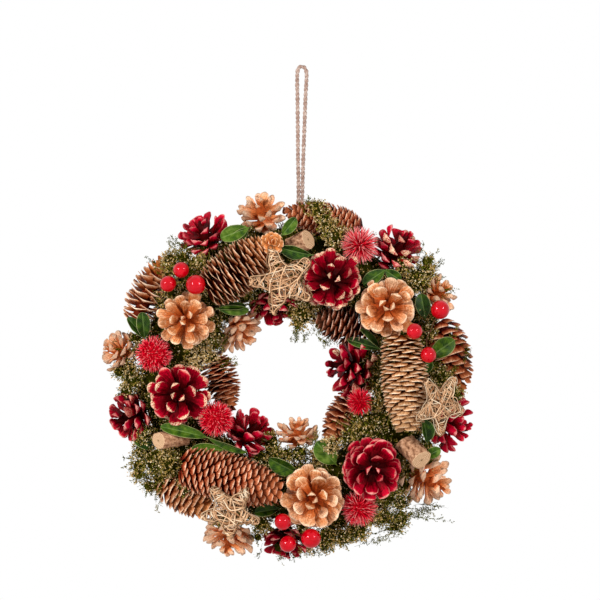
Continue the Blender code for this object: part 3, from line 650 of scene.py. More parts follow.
def pine_cone(node, aim, lift, finish, count=38, broad=0.40, shut=0.0, thick=0.060, swell=1.04, flare=1.0,
              shape=PETAL, lots=(0.0, 1.0), sink=0.90, stretch=1.0, move=(0, 0)):
    """An open pine cone, counted from its tip: a few short scales at its heart, then long ones that spread
    like petals, and level ones at its base. shut closes it, from 0 to 1; flare widens the scales nearest the
    tip; lots is the range that the finish picks from; sink is how much of its length the ends of its scales
    take up; move shifts it across and up, in millimetres."""
    axis = pointing(aim, lift)
    centre, length, radius = gauge(node, axis)
    centre, length, radius = shifted(centre, move), length * stretch, radius * swell
    rng = dice(node)
    pile = Pile()
    j = np.arange(count)
    t = j / (count - 1)
    turn = j * GOLDEN_TURN + rng.uniform(-0.16, 0.16, count) + rng.uniform(0, 6.28)
    spread = np.interp(j, *PINE_REACH) ** flare
    out = radius * spread * (1 - 0.16 * eased(0.7, 1, t)) * rng.uniform(0.87, 1.07, count)
    up = length * (0.50 - sink * t ** 0.90) + radius * rng.uniform(-0.06, 0.06, count)
    rise = np.radians(np.interp(j, *PINE_RISE) * (1 - 0.3 * shut) + 36 * shut + rng.uniform(-14, 14, count))
    bend = np.radians(rng.uniform(6, 38, count))
    reach = (out - 0.08 * radius) / np.cos(np.clip(rise - bend / 2, -1.2, 1.15))
    reach = np.clip(reach, 0.40 * radius, 1.15 * radius)
    grown = np.interp(j, [0, 2, 3, 8], [0.55, 0.68, 0.85, 1.0])
    half = 0.5 * broad * radius * grown * rng.uniform(0.84, 1.12, count)
    ragged = rng.uniform(0.88, 1.10, (count, len(shape), 1))
    cup, lot = rng.uniform(0.14, 0.36, count), rng.uniform(*lots, count)
    roll = np.radians(rng.uniform(-26, 26, count))
    scales(pile, centre, axis, turn, out, up, rise, bend, reach, half,
           radius * thick * (0.75 + 0.25 * eased(0, 8, j)), shape, cup, lot, roll=roll, ragged=ragged)
    # The core takes the dark colour of the scales' roots: painted shade.
    core = [(-0.40, 0.10), (-0.34, 0.20), (-0.1, 0.22), (0.12, 0.17), (0.30, 0.10), (0.40, 0.03)]
    turned(pile, centre, axis, [(a * length, r * radius) for a, r in core], 10, (0.05, 0.2, 0.5, 0.5))
    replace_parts(pile.build(node + "_scales", [finish], crisp=38), node)


# A spruce scale: a plate, widest past its middle, with a blunt rounded end.
PLATE = [(0.0, 0.50, 0.4, 1.5), (0.40, 0.80, 0.4, 1.4), (0.64, 0.97, 0.4, 1.3), (0.80, 1.0, 0.4, 1.2),
         (0.90, 0.93, 0.4, 1.1), (0.965, 0.74, 0.4, 1.0), (1.0, 0.46, 0.3, 0.6)]


def open_tip(pile, centre, axis, radius, thick, rng):
    """A rosette of open scales round the tip of a spruce cone."""
    count = 26
    j = np.arange(count)
    out = radius * np.interp(j, [0, 4, 12, 25], [0.15, 0.45, 0.85, 1.0])
    rise = np.radians(np.interp(j, [0, 4, 12, 25], [80, 50, 22, -8]))
    lots = rng.random(count)
    ragged = rng.uniform(0.88, 1.1, (count, len(PLATE), 1))
    scales(pile, centre, axis, j * GOLDEN_TURN, out, radius * (0.4 - 0.028 * j), rise, np.full(count, 0.3),
           0.9 * out + 0.25 * radius, np.full(count, 0.24 * radius), np.full(count, thick), PLATE,
           np.full(count, 0.3), lots, face=np.full(count, 1.0), sides=6, ragged=ragged)


def spruce_cone(node, aim, lift, finish, wide=12.0, row=4.6, gape=40.0, reach=13.0, swell=1.03, curl=12.0,
                thick=0.5, blunt=0.0, rosette=0.0, move=(0, 0)):
    """A long cone: thin scales that overlap like tiles. wide and row are the millimetres that each scale
    shows across and along; gape is how far, in degrees, the scales stand off the cone, and curl how far they
    bend back; blunt rounds its tip; rosette is the radius, in millimetres, of the open scales at a tip that
    faces the front."""
    axis = pointing(aim, lift)
    centre, length, radius = gauge(node, axis)
    centre, radius = shifted(centre, move), radius * swell
    rng = dice(node)
    pile = Pile()

    def outline(t):
        """The cone's radius at a share of its length, against its widest."""
        return np.maximum(1 - np.abs((t - 0.42) / (0.60 + blunt)) ** 2.6, 0.03)

    fine = (np.arange(400) + 0.5) / 400
    room = np.cumsum(outline(fine))
    count = int(2 * math.pi * radius * outline(fine).mean() * length / (wide * row * MM * MM))
    t = np.interp((np.arange(count) + 0.5) / count, room / room[-1], fine)
    turn = np.arange(count) * GOLDEN_TURN + rng.uniform(-0.06, 0.06, count) + rng.uniform(0, 6.28)
    slope = np.gradient(outline(t) * radius, t * length)
    out = radius * outline(t) * rng.uniform(0.96, 1.04, count)
    up = length * (t - 0.5) + rng.uniform(-0.5, 0.5, count) * MM
    lean = np.radians(gape) * (1 - 0.35 * t ** 3) * rng.uniform(0.85, 1.15, count)
    rise = math.pi / 2 - lean - np.arctan(np.clip(slope, -1.2, 1.2)) * 0.5
    bend = np.radians(curl) * rng.uniform(0.5, 1.4, count)
    size = 0.60 + 0.40 * outline(t)
    half = 0.5 * 1.15 * wide * MM * size * rng.uniform(0.92, 1.08, count)
    cup = half / np.maximum(2.2 * out, 3 * MM)
    ragged = rng.uniform(0.90, 1.08, (count, len(PLATE), 1))
    lots = rng.random(count)
    roll = np.radians(rng.uniform(-6, 6, count))
    scales(pile, centre, axis, turn, out, up, rise, bend, reach * MM * size, half, np.full(count, thick * MM),
           PLATE, cup, lots, face=t, sides=6, roll=roll, ragged=ragged)
    if rosette:
        spot = centre + axis * (0.5 * length - 0.5 * rosette * MM) + pointing(0, 90) * 0.55 * radius
        open_tip(pile, spot, pointing(aim, 66), rosette * MM, thick * MM, rng)
    body = max(0.78 - 0.010 * gape, 0.35)
    profile = [(length * (share - 0.5), radius * max(outline(share) * body, 0.05))
               for share in np.linspace(0.02, 0.97, 12)]
    # The core takes the dark colour of the scales' roots: painted shade.
    turned(pile, centre, axis, profile, 14, (0.05, 0.3, 0.5, 0.2))
    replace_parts(pile.build(node + "_scales", [finish], crisp=38), node)


# Each cone: the clock direction and the lift of its tip, its finish, then what sets it apart.
SPIKY = dict(broad=0.38, count=34, shut=0.55, shape=FINGER, thick=0.066, sink=0.78)
PADDLES = dict(broad=0.44, count=34, shut=0.65, thick=0.060, sink=0.76)
UNPAINTED = (0.0, 0.38)  # lots too low for the white paint
NATURAL = [
    (352, 40, WORN_PINE, dict(SPIKY, broad=0.34, move=(-0.5, -3.5), lots=(0.3, 1.0))),
    (300, 84, WAXED_PINE, dict(broad=0.40, lots=(0.0, 0.6), swell=1.0, move=(0, 2.5))),
    (133, 15, WORN_PINE, dict(SPIKY, swell=1.26, move=(3, -4))),
    (283, 20, WORN_PINE, dict(PADDLES, move=(-1, -1.5))),
    (60, 86, WAXED_PINE, dict(broad=0.44, lots=(0.0, 0.9), swell=1.08, move=(1, -1.5))),
    (62, 20, WORN_PINE, dict(SPIKY, swell=1.16, move=(0.5, -2))),
    (118, 12, WORN_PINE, dict(SPIKY, broad=0.42, swell=1.25, stretch=1.3, move=(1.5, 0.5), lots=(0.3, 1.0))),
    (170, 86, WAXED_PINE, dict(broad=0.46, count=46, shut=0.2, lots=(0.2, 1.0), swell=1.07)),
    (5, 20, WORN_PINE, dict(SPIKY, swell=1.08, move=(0.5, 1.5))),
    (196, 12, WORN_PINE, dict(SPIKY, broad=0.34, swell=1.13, move=(-3.5, -2)))]
BURGUNDY = [
    (340, 25, BRIGHT_STAIN, dict(PADDLES, broad=0.40, lots=UNPAINTED, swell=1.14, move=(2, -3))),
    (12, 75, STAINED_PINE, dict(broad=0.38, shut=0.5, flare=0.85, count=50, lots=(0.4, 1.0), move=(0.5, -3))),
    (172, 20, STAINED_PINE, dict(PADDLES, lots=UNPAINTED, swell=1.30, move=(2, -3))),
    (38, 28, BRIGHT_STAIN, dict(PADDLES, broad=0.46, thick=0.072, lots=(0.0, 0.75), swell=1.16, stretch=1.2,
                                move=(1.5, -4.5))),
    (275, 12, STAINED_PINE, dict(SPIKY, count=44, lots=(0.0, 0.8), swell=1.42, stretch=1.40, move=(2.5, 0))),
    (108, 10, BRIGHT_STAIN, dict(SPIKY, broad=0.31, lots=UNPAINTED, swell=1.52, move=(-1, -1))),
    (140, 82, STAINED_PINE, dict(broad=0.46, count=54, shut=0.35, flare=0.85, lots=(0.0, 0.5))),
    (182, 20, STAINED_PINE, dict(PADDLES, lots=UNPAINTED, swell=1.22, move=(2, -0.5))),
    (42, 28, BRIGHT_STAIN, dict(PADDLES, broad=0.40, lots=(0.0, 0.55), swell=1.26, move=(1.5, 1))),
    (262, 84, STAINED_PINE, dict(broad=0.46, count=30, flare=0.85, lots=(0.5, 1.0), swell=1.07,
                                 move=(0, -1))),
    (250, 25, STAINED_PINE, dict(PADDLES, broad=0.46, thick=0.070, lots=(0.0, 0.56), swell=1.16,
                                 move=(1.5, 0)))]
SPRUCE = [
    (53, 0, BROWN_SPRUCE, dict(wide=16.0, row=4.5, gape=76, reach=15, rosette=12.5)),
    (25, 0, RUSSET_SPRUCE, dict(wide=21.0, row=6.6, gape=76, reach=14, thick=0.9, swell=0.96,
                                move=(2.8, -0.5))),
    (282, 0, CINNAMON_SPRUCE, dict(wide=10.0, row=4.2, gape=46, reach=12, thick=0.6, swell=0.92,
                                   move=(-4.5, -2.5))),
    (285, 0, DARK_SPRUCE, dict(wide=13.5, row=4.8, gape=60, reach=11, thick=0.65, swell=1.08,
                               move=(0.5, -2))),
    (166, 0, REDDISH_SPRUCE, dict(wide=18.5, row=7.0, gape=40, curl=34, thick=0.85, swell=1.17,
                                  move=(-2.5, -2))),
    (176, 0, TAN_SPRUCE, dict(wide=14.0, row=4.2, gape=62, curl=20, blunt=0.15)),
    (208, 0, REDDISH_SPRUCE, dict(wide=16.0, row=5.6, gape=66, thick=1.05, move=(2.5, 0))),
    (105, 0, CINNAMON_SPRUCE, dict(wide=10.5, row=5.0, gape=50, curl=16, thick=0.7, swell=0.98, blunt=0.12,
                                   move=(1, -1.5))),
    (121, 0, BROWN_SPRUCE, dict(wide=17.0, row=5.2, gape=48, thick=0.9, swell=1.0, move=(1, 2))),
    (161, 0, REDDISH_SPRUCE, dict(wide=15.0, row=3.8, gape=76, thick=0.42, move=(0.5, 0)))]
CONE_CORES = []  # each cone's axis, with its solid's middle, length and radius

for kind, made_by, cones in (("natural_cone", pine_cone, NATURAL), ("burgundy_cone", pine_cone, BURGUNDY),
                             ("spruce_cone", spruce_cone, SPRUCE)):
    for number, (aim, lift, finish, more) in enumerate(cones, 1):
        node, axis = f"{kind}_{number:02d}", pointing(aim, lift)
        CONE_CORES.append((axis, *gauge(node, axis)))
        made_by(node, aim, lift, finish, **more)


# ------------------------------------------------------------------ thistles

def thistle(node, bristles, length, thick, fuzz, swell=1.04, faded=0.45, tone=0.0, move=(0, 0)):
    """A dyed thistle head: a round core under a coat of fine bristles, straight or matted by fuzz. length is
    the share of the head's radius that shows bristles, and thick is their radius at the root, in millimetres.
    faded is the share of them with pale tips, and tone makes them all paler, from 0 to 1."""
    low, high = (np.array(corner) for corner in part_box(node))
    centre, radius = shifted((low + high) / 2, move), (high - low).max() / 2 * swell
    rng = dice(node)
    pile = Pile()
    i = np.arange(bristles) + 0.5
    polar, turn = np.arccos(1 - 2 * i / bristles), i * GOLDEN_TURN
    outward = np.stack([np.cos(turn) * np.sin(polar), np.sin(turn) * np.sin(polar), np.cos(polar)], -1)
    outward = unit(outward + rng.normal(0, 0.05, outward.shape))
    reach = radius * rng.uniform(0.86, 1.02, bristles)
    lean = unit(outward + rng.normal(0, fuzz, outward.shape))
    root = centre + outward * (radius * (1 - length))
    tip = root + lean * (reach - radius * (1 - length))[:, None]
    middle = (root + tip) / 2 + rng.normal(0, fuzz * 0.8 * MM, root.shape)
    lines = np.stack([root, (root + 2 * middle) / 3, (2 * middle + tip) / 3, tip], 1)
    lot = tone + rng.uniform(0, 0.55, bristles)
    pale = rng.random(bristles) < faded
    share = np.array([0.0, 0.4, 0.75, 1.0])
    lot = lot[:, None] + np.where(pale, 0.5, 0.15)[:, None] * share ** 2
    # The second number of the tint runs from root to tip: painted shade, darkest where the bristles root.
    tints = stacked(lot[:, :, None], (0.25 + 0.75 * share)[None, :, None], np.zeros((1, 1, 3)), 0.0)
    tubes(pile, lines, np.array([1.0, 0.85, 0.6, 0.2])[None] * thick * MM, tints, sides=3)
    # The core takes a low second number: painted shade under the bristles.
    core = radius * (1 - length) * 1.04
    profile = [(core * math.cos(a), core * max(math.sin(a), 0.02)) for a in np.linspace(math.pi, 0, 9)]
    turned(pile, centre, UP, profile, 14, (0.1, 0.1, 0, 0))
    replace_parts(pile.build(node + "_head", [DYED_THISTLE]), node)


thistle("thistle_01", 560, 0.34, 0.60, 0.34, swell=1.20, faded=0.8, tone=0.10, move=(1.5, 1))
thistle("thistle_02", 400, 0.60, 0.62, 0.08, swell=1.24, faded=0.6, tone=0.30)
thistle("thistle_03", 380, 0.55, 0.45, 0.10, swell=0.96, faded=0.3)
thistle("thistle_04", 440, 0.50, 0.55, 0.12, swell=1.14, faded=0.6, tone=0.14)
thistle("thistle_05", 580, 0.36, 0.60, 0.20, swell=1.16, faded=0.5, tone=0.12, move=(-2, -1.5))


# ------------------------------------------------------------------ vine stars

# Round an arm, from the notch before it: distance from the star's middle and across the arm, in star radii.
STAR_ARM = [(0.37, -0.27), (0.62, -0.19), (0.90, -0.10), (0.97, -0.05), (0.97, 0.05), (0.90, 0.10),
            (0.62, 0.19)]
EDGE_LAPS, ARM_WINDINGS, MIDDLE_CROSSINGS = 5, 25, 48
STALK_LENGTH = 46  # millimetres, from the star back into the moss


def vine_star(node, aim, lift):
    """A blunt five-pointed star that faces the way of aim and lift: strands round its edge, vine wound over
    its arms and crossed over its middle, and a stalk that holds it in the moss."""
    points = np.array([v.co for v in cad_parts[node].data.vertices])
    normal = pointing(aim, lift)
    centre = (points.min(0) + points.max(0)) / 2
    centre = centre + normal * (((points @ normal).min() + (points @ normal).max()) / 2 - centre @ normal)
    flat = points - centre - ((points - centre) @ normal)[:, None] * normal
    centre = centre + flat.mean(0)
    flat = flat - flat.mean(0)
    far = np.linalg.norm(flat, axis=1)
    radius = far.max()
    first = unit(flat[far.argmax()])
    second = np.cross(normal, first)
    rng = dice(node)
    pile = Pile()

    def on_star(flat_points, height):
        """Points of the star's plane, in its radii, raised by a height in millimetres."""
        flat_points = radius * (flat_points @ np.stack([first, second]))
        return centre + flat_points + np.asarray(height)[:, None] * MM * normal

    def half_width(out):
        """An arm's half width, in radii, at a distance from the middle."""
        return 0.27 - (out - 0.37) * 0.33

    def strands(lines, thickness):
        """Lengths of vine with their radii in millimetres, with painted shade that darkens them the lower
        they lie.
        """
        lines, thickness = np.array(lines), np.array(thickness)
        lots = np.clip(rng.normal(0.60, 0.24, len(lines)), 0, 1)[:, None]
        share = np.linspace(0, 1, lines.shape[1])
        # Painted shade: the further back a strand lies, the lower its second number and the darker it is.
        depth = np.clip(((lines - centre) @ normal / MM + 3.0) / 6.0, 0, 1)
        lots = lots + 0.12 * np.sin(share * 9 + lots * 40)
        tints = stacked(lots[:, :, None], (0.1 + 0.9 * depth)[:, :, None], np.zeros((1, 1, 4)), 0.0)
        tubes(pile, lines, thickness[:, None] * MM, tints, sides=4)

    arms = [(np.array([math.cos(a), math.sin(a)]), np.array([-math.sin(a), math.cos(a)]))
            for a in np.arange(5) * math.radians(72)]
    corners = np.array([out * tip + side * across for tip, side in arms for out, across in STAR_ARM])
    edges = []
    for lap in range(EDGE_LAPS):
        loop = corners * (1.0 - 0.03 * lap) + rng.normal(0, 0.042, corners.shape)
        height = rng.uniform(-2.2, 2.4) + rng.normal(0, 0.6, len(corners))
        edges.append(smooth_line(on_star(np.vstack([loop, loop[:2]]), np.r_[height, height[:2]]), 110))
    strands(edges, rng.uniform(0.38, 0.56, len(edges)))
    lines = []
    for tip, side in arms:
        for lap in range(ARM_WINDINGS):  # each seen where it crosses the arm's front, or one in four its back
            low = rng.uniform(0.32, 0.93)
            high = np.clip(low + rng.uniform(-0.28, 0.28), 0.32, 0.95)
            share = np.array([0.0, 0.25, 0.5, 0.75, 1.0])
            flat_line = ((low + (high - low) * share)[:, None] * tip
                         + (half_width(low) * (share - 1) + half_width(high) * share)[:, None] * side)
            flat_line = flat_line + rng.normal(0, 0.02, flat_line.shape)
            bulge = rng.uniform(2.2, 3.8) * (1 if lap % 4 else -0.8)
            lines.append(smooth_line(on_star(flat_line, bulge * np.sin(share * math.pi) - 0.6), 12))
    for _ in range(MIDDLE_CROSSINGS):
        start = rng.uniform(0, 2 * math.pi)
        ends = np.array([start, start + math.pi + rng.normal(0, 0.7)])
        far = rng.uniform(0.40, 0.52, 2)
        ends = np.stack([np.cos(ends), np.sin(ends)], 1) * far[:, None]
        middle = ends.mean(0) + rng.normal(0, 0.09, 2)
        lines.append(smooth_line(on_star(np.stack([ends[0], middle, ends[1]]),
                                         rng.uniform(-2.0, 3.6) + rng.normal(0, 0.7, 3)), 12))
    strands(lines, rng.uniform(0.36, 0.62, len(lines)))
    stalk = [centre + (-3.0 * UP * share * (1 - share) - STALK_LENGTH * share * normal) * MM
             for share in (0.0, 0.35, 0.7, 1.0)]
    strands([smooth_line(stalk, 12)], [1.2])
    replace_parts(pile.build(node + "_vine", [DRIED_VINE]), node)


vine_star("vine_star_01", 0, 90)
vine_star("vine_star_02", 100, 52)
vine_star("vine_star_03", 203, 66)


# ------------------------------------------------------------------ branch stubs

END_STEPS = (0.04, 0.16, 0.30, 0.44, 0.58, 0.72, 0.84, 0.92)  # shares of the radius at a sawn end


def branch_stub(node, aim, lift, cut, turned_to=None, size=(1.0, 1.0), move=(0, 0)):
    """A piece of branch: cracked bark and two sawn ends. The near end is cut aslant: cut is how far its face
    turns up and to the front. aim and lift are the way that its solid lies, and turned_to the way that it
    lies itself, where that differs; size is its length and radius against the solid's."""
    axis = pointing(aim, lift)
    centre, length, radius = gauge(node, axis)
    axis = axis if turned_to is None else pointing(*turned_to)
    centre, length, radius = shifted(centre, move), length * size[0], radius * size[1]
    rng = dice(node)
    sides = 30
    across, turn = circle(sides, axis)
    oval = 1 + 0.05 * np.cos(2 * turn + rng.uniform(0, 6)) + 0.03 * np.cos(3 * turn)
    slant = 0.12 * np.cos(turn + rng.uniform(0, 6)) * radius
    near_slant = radius * (across @ [0.0, cut[1], -cut[0]] - 0.5 * max(cut))
    rows, tints = [], []
    for out in END_STEPS:
        rows.append((-length / 2 + slant * out, radius * out * oval))
        tints.append((out, 1.0))
    for share in np.linspace(0, 1, 20):
        ridge = np.abs(np.sin(turn * 4.5 + 1.5 * drift(share * 5 + turn, 3))) ** 0.7
        crack = 0.10 * (1 - ridge) + 0.03 * drift(turn * 3 + share * 11, int(rng.integers(1 << 30)))
        along = length * (share - 0.5) * 0.985 + slant * (share == 0) + near_slant * share ** 2
        rows.append((along, radius * oval * (1.0 - crack)))
        tints.append((1.0, 0.35 + 0.85 * ridge))
    for out in reversed(END_STEPS):
        along = length / 2 + near_slant * out - 0.5 * max(cut) * radius * (1 - out)
        rows.append((along, radius * out * oval))
        tints.append((out, 1.0))
    rings = np.array([centre + np.broadcast_to(along, sides)[:, None] * axis + out[:, None] * across
                      for along, out in rows])
    shades = np.array([stacked(o, g, np.zeros(sides), 0.0) for o, g in tints])
    pile = Pile()
    pile.lofts(rings[None], shades[None], paint_boxes(1, 0.01))
    ends = len(END_STEPS) * sides
    shell, *caps = pile.slots
    for sawn in (shell[:ends], shell[-ends:], *caps):
        sawn[:] = 1
    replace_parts(pile.build(node + "_bark", [BARK, SAWN_END]), node)


branch_stub("branch_stub_01", 95, 25, (0.0, 0.0), turned_to=(64, 36), size=(0.78, 1.12), move=(-2.5, -2.5))
branch_stub("branch_stub_02", 136, 30, (0.0, 0.22), size=(0.80, 1.2), move=(-1, 1.5))
branch_stub("branch_stub_03", 262, 30, (0.0, 0.26))


# ------------------------------------------------------------------ berries

CALYX = [(-1.06, 0.10), (-1.03, 0.17), (-0.97, 0.16), (-0.93, 0.05)]  # along and out, in radii of the berry


def berry_pick(node, berries, twist):
    """Lacquered berries, each with a dimple and a dark calyx, on wires wrapped in paper. A berry is its
    clock, reach, standoff and radius, and its wire comes from the twist where they all meet."""
    rng = dice(node)
    pile = Pile()
    knot = seat(*twist)
    lines = []
    for clock, reach, standoff, radius in berries:
        centre = seat(clock, reach, standoff)
        stalk = unit(knot - centre)
        axis = -stalk
        radius = radius * MM
        polar = np.linspace(0.05, math.pi - 0.05, 22)[::-1]
        plump = radius * (1 + 0.012 * np.cos(2 * polar))
        profile = [(p * math.cos(a) + 0.07 * radius * math.exp(-((math.pi - a) / 0.25) ** 2), p * math.sin(a))
                   for a, p in zip(polar, plump)]
        turned(pile, centre, axis, profile, 30, (0.5, 0.0, 0.0, 0.0))
        turned(pile, centre, axis, [(a * radius, r * radius) for a, r in CALYX], 9, (0.3, 0.4, 0.0, 0.0), 1)
        side = rng.normal(0, 1.2 * MM, 3)
        lines.append(smooth_line([knot, (knot * 2 + centre) / 3 + side, (knot + 2 * centre) / 3 + side,
                                  centre + stalk * radius * 0.95], 16))
    tubes(pile, np.array(lines), 0.5 * MM, np.array([0.4, 0.35, 0.0, 0.0]), sides=6, slot=1)
    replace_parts(pile.build(node + "_berries", [LACQUER, BARK]), node)


berry_pick("berry_pick_01", [(314.4, 142.5, 74, 7.7), (307.1, 143.3, 72, 7.8), (314.3, 122.5, 82, 9.5)],
           twist=(313, 139, 58))
berry_pick("berry_pick_02", [(67, 158, 66, 9.0), (71, 127, 94, 7.6), (82, 135, 82, 7.6)], twist=(73, 143, 60))
berry_pick("berry_pick_03", [(182, 140, 84, 8.0), (180, 162, 66, 8.0), (172, 158, 70, 9.5)],
           twist=(178, 153, 56))


# ------------------------------------------------------------------ leaves

# A blade's outline from its stalk: the share of its length, and the share of its width there.
BLADE = [(-0.10, 0.05), (-0.02, 0.05), (0.03, 0.10), (0.10, 0.34), (0.2, 0.62), (0.32, 0.82), (0.44, 0.94),
         (0.56, 1.0), (0.68, 0.97), (0.78, 0.87), (0.86, 0.73), (0.92, 0.57), (0.965, 0.36), (0.99, 0.12)]
BLADE_COLUMNS = np.array([-1, -0.93, -0.66, -0.34, -0.09, 0, 0.09, 0.34, 0.66, 0.93, 1.0])


def leaf(pile, root, aim, lift, length, width, rng, arch, fold, roll, box):
    """One blade: blunt and widest past its middle, folded along the midrib, arched, with a short stalk."""
    forward = pointing(aim, lift)
    side = unit(np.cross([0.0, -1.0, 0.0], forward))
    up = np.cross(forward, side)
    side, up = side * math.cos(roll) + up * math.sin(roll), up * math.cos(roll) - side * math.sin(roll)
    length, width = length * MM, width * MM
    share, wide = np.array(BLADE).T
    ripple = drift(share * 9, int(rng.integers(1 << 30)))
    x = BLADE_COLUMNS
    midrib = 0.35 * MM * np.exp(-(x / 0.1) ** 2)  # a groove above and a rib beneath
    across, beneath = np.abs(np.r_[x[::-1], x]), np.repeat([1.0, 0.0], len(x))
    rows, shades, lot = [], [], rng.random()
    for s, w, r in zip(share, wide, ripple):
        half = 0.5 * width * w
        height = fold * half * np.abs(x) ** 1.3 + 0.10 * half * r * x - arch * length * max(s, 0) ** 2
        height = height - midrib * w
        thick = (0.65 if s < 0.05 else 0.30) * MM
        top = np.stack([x * half, height], -1)
        under = np.stack([x * half, height - thick - midrib], -1)[::-1]
        rows.append(np.concatenate([under, top]))
        shades.append(stacked(s, across, beneath, lot))
    rows, shades = np.array(rows), np.array(shades)
    rings = root + (share * length)[:, None, None] * forward + rows[..., :1] * side + rows[..., 1:] * up
    pile.lofts(rings[None], np.clip(shades[None], 0, 1), box)


def leaf_sprig(node, root, blades):
    """Leaves from one root. They take the place of a frame solid, where there is one of their name."""
    rng = dice(node)
    pile = Pile()
    boxes = paint_boxes(len(blades), 0.01)
    for (aim, lift, length, width, arch, fold, roll), box in zip(blades, boxes[:, None]):
        leaf(pile, seat(*root), aim, lift, length, width, rng, arch, fold, math.radians(roll), box)
    piece = pile.build(node + "_leaves", [BOX_LEAF])
    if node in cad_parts:
        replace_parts(piece, node)


# Each sprig: the seat of its root, and its blades by clock direction, lift, length, width, arch, fold and
# roll. From the tenth on, they are small leaves pushed in between the rest.
LEAF_SPRIGS = [
    ((345, 145, 56), [(251, 15, 29, 16, 0.12, 0.2, 10), (229, 5, 24, 12, 0.15, 0.3, -10)]),
    ((11, 116, 78), [(280, 5, 30, 14, 0.14, 0.5, -25)]),
    ((284, 142, 48), [(357, 25, 26, 14, 0.15, 0.2, 10), (324, 15, 26, 12, 0.1, 0.3, 35)]),
    ((313, 92, 52), [(95, 10, 30, 11, 0.1, 0.3, 20), (82, 10, 27, 9, 0.1, 0.4, -35)]),
    ((43, 136, 60), [(238, 10, 25, 14, 0.15, 0.25, 15), (122, 5, 18, 11, 0.15, 0.3, 0)]),
    ((83, 137, 60), [(54, 22, 29, 18, 0.12, 0.15, -10)]),
    ((75, 92, 48), [(287, 14, 34, 10, 0.08, 0.3, 10), (316, 25, 30, 9, 0.05, 0.5, 50)]),
    ((152, 98, 50), [(318, 20, 29, 21, 0.15, 0.15, -5)]),
    ((232, 98, 64), [(285, 8, 46, 13, 0.1, 0.3, 20), (114, 0, 41, 8, 0.1, 0.6, 40)]),
    ((357.5, 133, 72), [(42, 15, 21, 12, 0.2, 0.3, 15)]),
    ((68, 142, 52), [(350, 10, 24, 15, 0.15, 0.2, 0)]),
    ((116, 148, 66), [(355, 25, 23, 14, 0.2, 0.9, 30)]),
    ((121, 154, 50), [(62, 20, 16, 11, 0.2, 0.2, 0)]),
    ((174.4, 95, 56), [(294, 15, 31, 18, 0.12, 0.5, -30)]),
    ((183.4, 129, 54), [(262, 8, 25, 12, 0.1, 0.35, 20)]),
    ((241, 149, 44), [(312, 12, 24, 15, 0.2, 0.2, 10)]),
    ((84, 138, 60), [(205, 20, 14, 9, 0.2, 0.3, 0)]),
    ((220.5, 94.6, 62), [(272, 5, 31, 11, 0.12, 0.3, 10)])]

for number, (root, blades) in enumerate(LEAF_SPRIGS, 1):
    leaf_sprig(f"leaf_sprig_{number:02d}", root, blades)


# ------------------------------------------------------------------ straw ring

def section_point(clock, wrap, radius):
    """Points round the ring's section: wrap is degrees from the front, with the outside positive."""
    angle = np.radians(wrap)
    return seat(clock, RING_REACH + radius * np.sin(angle),
                np.maximum(STRAW_STANDOFF + radius * np.cos(angle), 0.35 * (radius - STRAW_RADIUS)))


LOOSE_STRAWS, THREAD_TURNS = 330, 40


def straw_ring():
    """Straw laid round in a bundle, flat at the back, and bound with thin thread: a ridged body, with loose
    straws and the thread laid over it."""
    rng = dice("straw_ring")
    pile = Pile()
    clocks, wraps = np.arange(0, 360, 3.0)[:, None], np.linspace(0, 360, 49)[:-1][None]
    ridges = 0.5 * np.sin(np.radians(wraps) * 29 + 2.5 * drift(np.radians(clocks) * 3, 5)) ** 2
    rows = section_point(clocks, wraps, STRAW_RADIUS - 0.9 + ridges)[:, ::-1]
    lot = 0.25 + 0.5 * np.sin(np.radians(wraps) * 14.5 + 2 * drift(np.radians(clocks) * 3, 6)) ** 2
    # Painted shade: the straw is darker in the grooves between the ridges.
    tints = stacked(lot, 0.5 + ridges, 0.0, 0.0)[:, ::-1]
    pile.lofts(rows[None], tints[None], closed=True)
    count = LOOSE_STRAWS
    start, wrap = rng.uniform(0, 360, count), rng.uniform(70, 290, count)
    share = np.linspace(0, 1, 8)[None]
    sweep, slide = rng.uniform(18, 44, count)[:, None], rng.normal(0, 7, count)[:, None]
    bow = rng.uniform(0.0, 0.5, count)[:, None] * np.sin(share * math.pi) - 0.3
    clocks, wraps = start[:, None] + sweep * share, wrap[:, None] + slide * share
    lines = section_point(clocks, wraps, STRAW_RADIUS + 0.2 + bow)
    lot = rng.uniform(0.2, 1.0, count)[:, None, None]
    # Painted shade: each loose straw is darker at its start.
    tints = stacked(lot, (0.75 + 0.25 * share)[..., None], np.zeros((1, 1, 4)), 0.0)
    tubes(pile, lines, rng.uniform(0.55, 1.0, count)[:, None] * MM, tints, sides=4)
    run = np.linspace(0, 1, THREAD_TURNS * 22)[None]
    lines = section_point(360 * run, 360 * THREAD_TURNS * run + 4 * np.sin(run * 300), STRAW_RADIUS + 0.9)
    tubes(pile, lines, 0.4 * MM, np.array([0.05, 0.9, 0.0, 0.0]), sides=5)
    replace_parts(pile.build("straw_ring_bundle", [RYE_STRAW]), "straw_ring")


straw_ring()


# ------------------------------------------------------------------ moss

# Mounds on the blanket: clock, degrees round the section from the front, height and spread.
MOUNDS = [(317, 38, 12, 12), (19, 18, 6, 9), (52, 58, 13, 13), (22, -74, 5, 8), (283, -44, 12, 12),
          (267, 56, 9, 6), (238, 74, 9, 8), (188, -60, 14, 12), (150, -44, 8, 12), (123, -20, 12, 12),
          (90, 40, 7, 9), (143, 80, 20, 14), (161, 78, 18, 14)]
